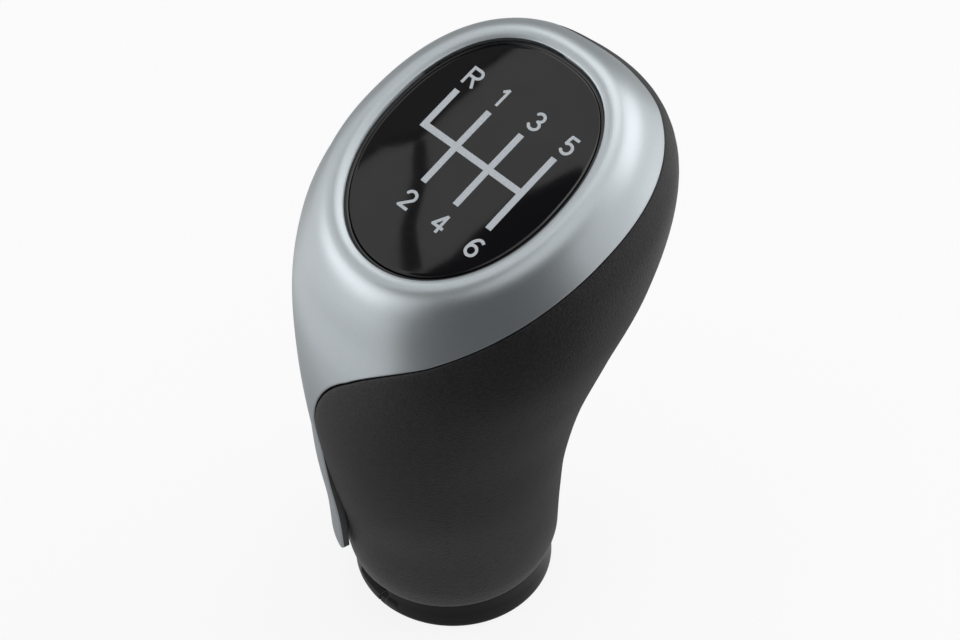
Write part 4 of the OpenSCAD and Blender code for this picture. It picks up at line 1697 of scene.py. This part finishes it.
@dataclass
class Studio:
    """Floor, background, lamps and camera."""

    ambient: float = 0.55
    floor_half: float = 3.0
    floor_drop: float = 0.0002
    floor_white: float = 0.86
    azimuth: float = 46.08
    elevation: float = 48.25
    roll: float = -0.73
    distance: float = 0.5184
    target: tuple[float, float, float] = (0.0, 0.002, 0.05)
    lens: float = 129.59
    sensor: float = 36.0
    shift: tuple[float, float] = (0.0209, 0.0154)
    lamps: tuple[Softbox, ...] = (
        Softbox("softbox_left", -126, 12, 0.9, (0.95, 0.6), 1.1),
        Softbox("softbox_right", 64, 26, 0.9, (0.8, 0.8), 1.15),
        Softbox("softbox_back", 128, 66, 0.9, (0.6, 0.6), 1.0),
    )
    flags: tuple[Flag, ...] = (
        Flag("flag_front", (-80, 8), (-2, 36), 0.04),
        Flag("flag_over", (-122, -62), (36, 88), 0.06),
        Flag("flag_back", (96, 176), (-2, 36), 0.35),
        FloorCard("floor_card_near", (-180, 180), (0.02, 0.085), 0.36, 0.0006, 48),
        FloorCard("floor_card_front", (-84, 14), (0.085, 1.3), 0.1, 0.0008),
        FloorCard("floor_card_back", (95, 180), (0.085, 1.3), 0.4, 0.0008),
    )
    badge_cards: tuple[BadgeCard, ...] = (
        BadgeCard("badge_sheet", ((-22, -28), (22, -28), (22, 28), (-22, 28)), 0.92, 0.74),
        BadgeCard("badge_corner", (*CORNER_LINE, (-8.0, 27.0), (-22.0, 27.0), (-22.0, -12.5)), 0.2),
        BadgeCard(
            "badge_edge",
            (
                *CORNER_LINE,
                (-8.2, 19.5), (-10.4, 12.0), (-9.0, 9.6), (-9.7, -0.6), (-12.8, -4.4), (-14.8, -11.5),
            ),
            0.1,
            0.69,
        ),
        BadgeCard(
            "badge_band",
            (
                (-9.3, -2.7), (-7.9, -1.2), (-3.4, -5.2), (0.9, -12.6),
                (6.0, -17.6), (4.6, -19.8), (-0.9, -14.2), (-4.7, -7.0),
            ),
            0.12,
            0.68,
        ),
        BadgeCard(
            "badge_low",
            (
                (13.2, 8.5), (9.5, 0.0), (8.4, -7.5), (8.2, -13.0),
                (6.0, -20.0), (9.0, -28.0), (22.0, -28.0), (22.0, 9.5),
            ),
            0.06,
        ),
    )

    def floor(self) -> None:
        """Lays the pale floor, which keeps the knob's shadow."""
        work = bmesh.new()
        h = self.floor_half
        work.faces.new([work.verts.new(p) for p in ((-h, -h, 0), (h, -h, 0), (h, h, 0), (-h, h, 0))])
        mesh = bpy.data.meshes.new("floor")
        work.to_mesh(mesh)
        work.free()
        made = bpy.data.objects.new("floor", mesh)
        made.location.z = -self.floor_drop
        bpy.context.scene.collection.objects.link(made)
        s = Shader("studio_floor")
        paper = s.noise(900, 3)
        s.dress(Base_Color=s.mix(paper, (0.9, 0.9, 0.9), (0.93, 0.93, 0.93)), Roughness=0.9)
        path = s.node("ShaderNodeLightPath", {}, {})
        direct = s.out(path, "Is Camera Ray") + s.out(path, "Is Glossy Ray")
        white = self.floor_white * (direct + s.out(path, "Is Transmission Ray"))
        glow = s.node("ShaderNodeEmission", {}, {"Color": (1, 1, 1), "Strength": 1.0})
        layers = {0: white, 1: s.out(s.surface, "BSDF"), 2: s.out(glow, "Emission")}
        blend = s.node("ShaderNodeMixShader", {}, layers)
        s.feed(s.output.inputs["Surface"], s.out(blend, "Shader"))
        mesh.materials.append(s.material)

    def world(self) -> None:
        """Sets the soft surround, which is seen as white."""
        world = bpy.data.worlds.new("surround")
        bpy.context.scene.world = world
        world.use_nodes = True
        tree = world.node_tree
        tree.nodes.clear()
        path = tree.nodes.new("ShaderNodeLightPath")
        total = None
        for name in ("Is Camera Ray", "Is Glossy Ray", "Is Transmission Ray"):
            if total is None:
                total = path.outputs[name]
                continue
            add = tree.nodes.new("ShaderNodeMath")
            add.operation = "ADD"
            tree.links.new(total, add.inputs[0])
            tree.links.new(path.outputs[name], add.inputs[1])
            total = add.outputs[0]
        spread = tree.nodes.new("ShaderNodeMapRange")
        spread.inputs["To Min"].default_value = self.ambient
        spread.inputs["To Max"].default_value = 1.0
        tree.links.new(total, spread.inputs["Value"])
        back = tree.nodes.new("ShaderNodeBackground")
        back.inputs["Color"].default_value = (1, 1, 1, 1)
        tree.links.new(spread.outputs["Result"], back.inputs["Strength"])
        out = tree.nodes.new("ShaderNodeOutputWorld")
        tree.links.new(back.outputs["Background"], out.inputs["Surface"])

    def eye(self) -> Vector:
        """The camera's place."""
        a, e = math.radians(self.azimuth), math.radians(self.elevation)
        back = Vector((math.sin(a) * math.cos(e), -math.cos(a) * math.cos(e), math.sin(e)))
        return Vector(self.target) + back * self.distance

    def camera(self) -> None:
        """Sets up the photograph's view."""
        data = bpy.data.cameras.new("camera")
        data.sensor_width = self.sensor
        data.lens = self.lens
        data.shift_x, data.shift_y = self.shift
        data.clip_start, data.clip_end = 0.01, 20.0
        made = bpy.data.objects.new("camera", data)
        bpy.context.scene.collection.objects.link(made)
        a, r = math.radians(self.azimuth), math.radians(self.roll)
        back = (self.eye() - Vector(self.target)).normalized()
        right = Vector((math.cos(a), math.sin(a), 0))
        up = back.cross(right)
        turned_right = math.cos(r) * right + math.sin(r) * up
        turned_up = -math.sin(r) * right + math.cos(r) * up
        turn = Matrix((turned_right, turned_up, back)).transposed()
        made.matrix_world = Matrix.Translation(self.eye()) @ turn.to_4x4()
        bpy.context.scene.camera = made

    def build(self, plate: BadgePlate) -> None:
        """Builds the whole studio round the knob.

        Args:
            plate: The badge plate, in which some of the cards are mirrored.
        """
        self.camera()
        self.floor()
        self.world()
        for piece in (*self.lamps, *self.flags):
            piece.build()
        for card in self.badge_cards:
            card.build(self.eye(), plate)
        bpy.context.scene.view_settings.view_transform = "Standard"


def main() -> None:
    """Builds and dresses the knob, piece by piece, then its studio."""
    logging.basicConfig(level=logging.INFO, format="%(name)s: %(message)s")
    head = Head()
    skin = GripSkin(head)
    edge = TrimEdge(skin)
    leather = LeatherGrip(skin, edge)
    leather.build()
    leather.stitch()
    leather.dress()
    trim = TrimShell(skin, edge)
    trim.build()
    trim.dress()
    collar = Collar()
    collar.build()
    collar.dress()
    plate = BadgePlate(head)
    plate.build()
    plate.rim()
    plate.dress()
    pattern = GatePattern(head)
    pattern.build()
    pattern.dress()
    PlainParts().dress()
    Studio().build(plate)


if __name__ == "__main__":
    main()
